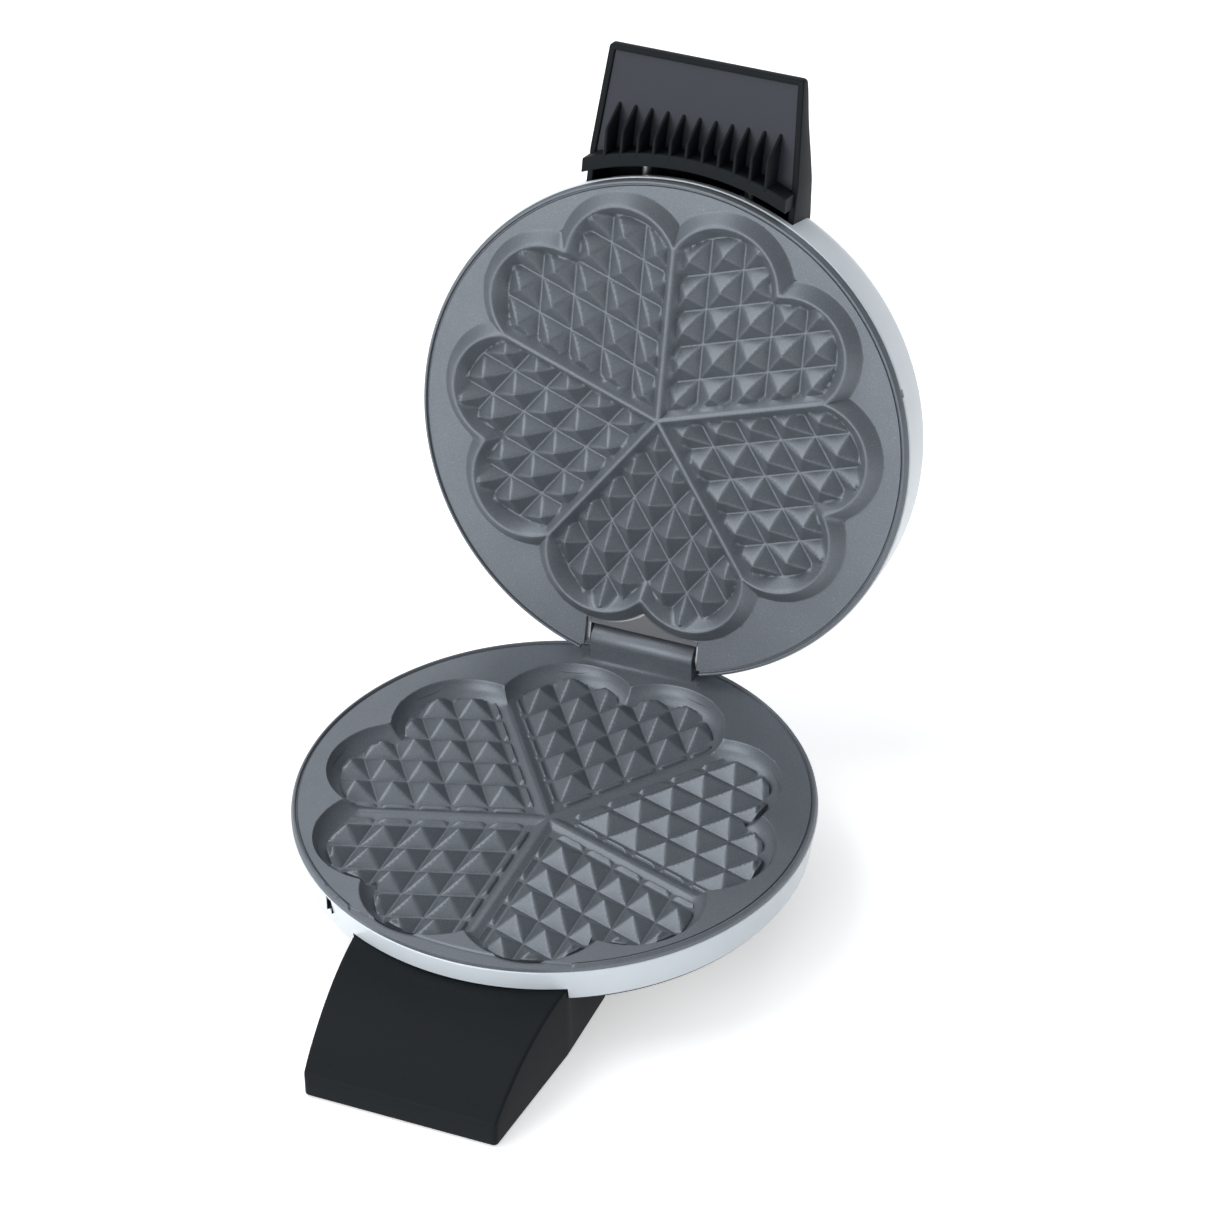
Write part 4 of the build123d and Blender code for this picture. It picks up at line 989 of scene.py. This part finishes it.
def ribTree():
    # sets the ribs side by side and lets each one's back follow the ledge's arc
    tree, given = newGroup(
        "GeometryNodeTree", "gripRibs",
        [("Geometry", "Geometry", None), ("Count", "Int", 11), ("Pitch", "Float", 0.00625),
         ("Arc Radius", "Float", 0.103), ("Arc Centre", "Float", 0.0055), ("Back Limit", "Float", -0.1),
         ("Paint", "Material", None)],
        [("Geometry", "Geometry")])
    start = calc(tree, "MULTIPLY", calc(tree, "SUBTRACT", given["Count"], 1),
                 calc(tree, "MULTIPLY", given["Pitch"], -0.5))
    line = place(tree, "GeometryNodeMeshLine", {
        "Count": given["Count"],
        "Start Location": place(tree, "ShaderNodeCombineXYZ", {"X": start})["Vector"],
        "Offset": place(tree, "ShaderNodeCombineXYZ", {"X": given["Pitch"]})["Vector"]})
    real = spread(tree, line, given)
    here = place(tree, "GeometryNodeInputPosition")[0]
    spot = place(tree, "ShaderNodeSeparateXYZ", {0: here})
    square = calc(tree, "SUBTRACT", calc(tree, "MULTIPLY", given["Arc Radius"], given["Arc Radius"]),
                  calc(tree, "MULTIPLY", spot["X"], spot["X"]))
    arcY = calc(tree, "SUBTRACT", given["Arc Centre"], calc(tree, "SQRT", square))
    moved = place(tree, "ShaderNodeCombineXYZ", {"X": spot["X"], "Y": arcY, "Z": spot["Z"]})
    follow = place(tree, "GeometryNodeSetPosition", {
        "Geometry": real["Geometry"], "Position": moved["Vector"],
        "Selection": calc(tree, "GREATER_THAN", spot["Y"], given["Back Limit"])})
    return painted(tree, follow, given["Paint"])


def gripInsert():
    i = insertDims
    show("gripPanel", meshOf(*insertPanel()), "panel", 40, "lid", "black_plastic", "handle_insert")
    ledge = joined(insertLedge(i["ledgeHalf"], i["ledgeFoot"], i["ledgeTop"]),
                   insertLedge(i["stemHalf"], i["ledgeTop"] - 0.6, i["stemTop"]))
    show("gripLedge", meshOf(*ledge), "black", 40, "lid", "black_plastic")
    ribs = bakeNodes(meshOf(*ribMesh()), ribTree(), {
        "Count": i["ribs"], "Pitch": i["pitch"] * mm, "Arc Radius": (i["ledgeOut"] - 1.5) * mm,
        "Arc Centre": rimY * mm, "Back Limit": -0.0999, "Paint": mats["black"]})
    show("gripRibs", ribs, "black", 40, "lid", "black_plastic")


# hinge cover on the lower plate
hingeDims = {"y": 93.2, "z": 49.8, "radius": 5.7, "half": 20.5, "seat": 42.6, "edge": 0.45}


def hingeCover():
    h = hingeDims
    arc = [(h["y"] + h["radius"] * math.cos(a), h["z"] + h["radius"] * math.sin(a))
           for a in np.linspace(math.pi, 0, 33)]
    profile = [(h["y"] - h["radius"], h["seat"])] + arc + [(h["y"] + h["radius"], h["seat"])]
    stations = [(-h["half"], h["edge"]), (-h["half"] + 0.13, 0.13), (-h["half"] + h["edge"], 0.0)]
    stations += [(-x, shrink) for x, shrink in reversed(stations)]
    solid = swept([[(x, s.x, max(s.y, h["seat"])) for s in shrunk(profile, (h["y"], h["z"] - 0.5), shrink)]
                   for x, shrink in stations])
    show("hingeCover", meshOf(*solid), "coating", 35, "base", "plate_coating", "hinge_barrel")


# dial and its marks
dialDims = {
    "y": -52.0, "low": 76.5, "high": 83.98, "radius": 14.98, "grips": 12, "scallop": 1.6, "scallopAt": 15.6,
    "count": 288, "numbers": 5, "numberAt": 19.6, "numberSize": 4.2, "numberStep": 38, "print": 76.02,
}


def dialRadius(angle):
    # the knob's radius with a small hollow at each grip
    d = dialDims
    step = 2 * math.pi / d["grips"]
    off = (angle / step) % 1.0 - 0.5
    across = d["scallopAt"] * math.sin(abs(off) * step)
    if across >= d["scallop"]:
        return d["radius"]
    hollow = d["scallopAt"] * math.cos(off * step) - math.sqrt(d["scallop"] ** 2 - across ** 2)
    return min(d["radius"], hollow)


def dialKnob():
    d = dialDims
    low, high, y = d["low"], d["high"], d["y"]
    rows = []
    for z, shrink in ((low, 0.25), (low + 0.25, 0.0), (high - 1.0, 0.0),
                      (high - 0.45, 0.2), (high - 0.1, 0.6), (high, 1.1)):
        turns = [2 * math.pi * k / d["count"] for k in range(d["count"])]
        rows.append(([((dialRadius(a) - shrink) * math.cos(a), y + (dialRadius(a) - shrink) * math.sin(a))
                      for a in turns], z))
    top = ((11.0, high), (10.6, high - 0.35), (0.0, high - 0.35))
    under = ((13.0, low), (13.0, high - 2), (5.2, high - 2), (5.2, low), (3.05, low), (3.05, high - 1.8),
             (0.0, high - 1.8))
    rows += [(circle(r, d["count"], 0.0, y) if r else [(0.0, y)], z) for r, z in top + under]
    verts, rings = turnedRows(rows)
    split = len(rows) - len(under)
    faces = skin(rings[:split]) + skin(rings[:1] + rings[split:])
    show("dialKnob", meshOf(verts, faces), "black", 30, "dial", "black_plastic", "browning_dial")


def dialMarks():
    # numbers printed round the dial, and the white pointer on it
    d = dialDims
    verts, faces = [], []
    for number in range(1, d["numbers"] + 1):
        curve = bpy.data.curves.new("mark", "FONT")
        curve.body, curve.size, curve.extrude = str(number), d["numberSize"], 0.02
        curve.align_x = curve.align_y = "CENTER"
        holder = linked("mark", curve)
        mesh = evaluated(holder)
        bpy.data.objects.remove(holder)
        a = math.radians(90 - (number - 3) * d["numberStep"])
        x, y, start = d["numberAt"] * math.cos(a), d["y"] + d["numberAt"] * math.sin(a), len(verts)
        verts += [(v.co.x + x, v.co.y + y, v.co.z + d["print"]) for v in mesh.vertices]
        faces += [tuple(start + i for i in f.vertices) for f in mesh.polygons]
    show("dialNumbers", meshOf(verts, faces, False), "print", 40, "lid", "black_plastic")
    pointer = boxMesh(-0.6, 0.6, d["y"] + 4.0, d["y"] + 10.2, d["high"] - 0.4, d["high"] - 0.27)
    show("dialPointer", meshOf(*pointer), "white", 40, "dial", "white_cover")


lowerCasing()
lidCover()
print("housings made")
makeGrips()
gripInsert()
print("grips made")
hingeCover()
dialKnob()
dialMarks()
print("hinge cover and dial made")


# camera, floor and light
studio = {
    "eye": (0.611927, -1.346920, 1.215493), "target": (0.010539, 0.029415, 0.116022), "roll": -1.2558,
    "lens": 155.562, "sky": 0.42, "skyTint": (0.93, 0.965, 1, 1), "floorLift": 0.49, "floorTone": 0.9,
    # name, place, aim, size and power of each lamp
    "lamps": [("key", (-1.5, -0.5, 2.3), (0, 0.02, 0.1), (1.9, 1.9), 39.0),
              ("back left", (-0.4, 1.9, 1.8), (0, 0, 0.08), (1.8, 1.2), 13.0),
              ("front left", (-0.6, -2.3, 0.9), (0, 0, 0.12), (1.6, 1.0), 28.0)],
}


def aimed(holder, spot, aim, roll=0.0):
    look = (Vector(aim) - Vector(spot)).to_track_quat("-Z", "Y").to_matrix().to_4x4()
    holder.matrix_world = Matrix.Translation(spot) @ look @ Matrix.Rotation(math.radians(roll), 4, "Z")


def makeCamera():
    data = bpy.data.cameras.new("camera")
    data.lens, data.sensor_width, data.sensor_fit = studio["lens"], 36.0, "HORIZONTAL"
    data.clip_start, data.clip_end = 0.05, 20
    camera = linked("camera", data)
    aimed(camera, studio["eye"], studio["target"], studio["roll"])
    bpy.context.scene.camera = camera


def makeFloor():
    # seen directly or in a reflection the floor glows a little, which takes it to white
    mat = bpy.data.materials.new("studio floor")
    mat.use_nodes = True
    tree, tone = mat.node_tree, studio["floorTone"]
    tree.nodes.clear()
    path = place(tree, "ShaderNodeLightPath")
    seen = calc(tree, "MAXIMUM", calc(tree, "MAXIMUM", path["Is Camera Ray"], path["Is Glossy Ray"]),
                path["Is Transmission Ray"])
    shader = place(tree, "ShaderNodeBsdfPrincipled", {
        "Base Color": (tone, tone, tone, 1), "Roughness": 0.9, "Emission Color": (1, 1, 1, 1),
        "Emission Strength": calc(tree, "MULTIPLY", seen, studio["floorLift"])})
    place(tree, "ShaderNodeOutputMaterial", {"Surface": shader["BSDF"]})
    mesh = bpy.data.meshes.new("floor")
    mesh.from_pydata([(-6, -6, 0), (6, -6, 0), (6, 6, 0), (-6, 6, 0)], [], [(0, 1, 2, 3)])
    mesh.materials.append(mat)
    linked("floor", mesh)


def makeLight():
    for name, spot, aim, size, power in studio["lamps"]:
        data = bpy.data.lights.new(name, "AREA")
        data.shape, data.size, data.size_y = "RECTANGLE", size[0], size[1]
        data.energy = power
        aimed(linked(name, data), spot, aim)
    world = bpy.data.worlds.new("studio")
    bpy.context.scene.world = world
    world.use_nodes = True
    tree = world.node_tree
    tree.nodes.clear()
    sky = place(tree, "ShaderNodeBackground", {"Color": studio["skyTint"], "Strength": studio["sky"]})
    place(tree, "ShaderNodeOutputWorld", {"Surface": sky[0]})


makeCamera()
makeFloor()
makeLight()
bpy.context.scene.view_settings.view_transform = "Standard"
print("studio ready")
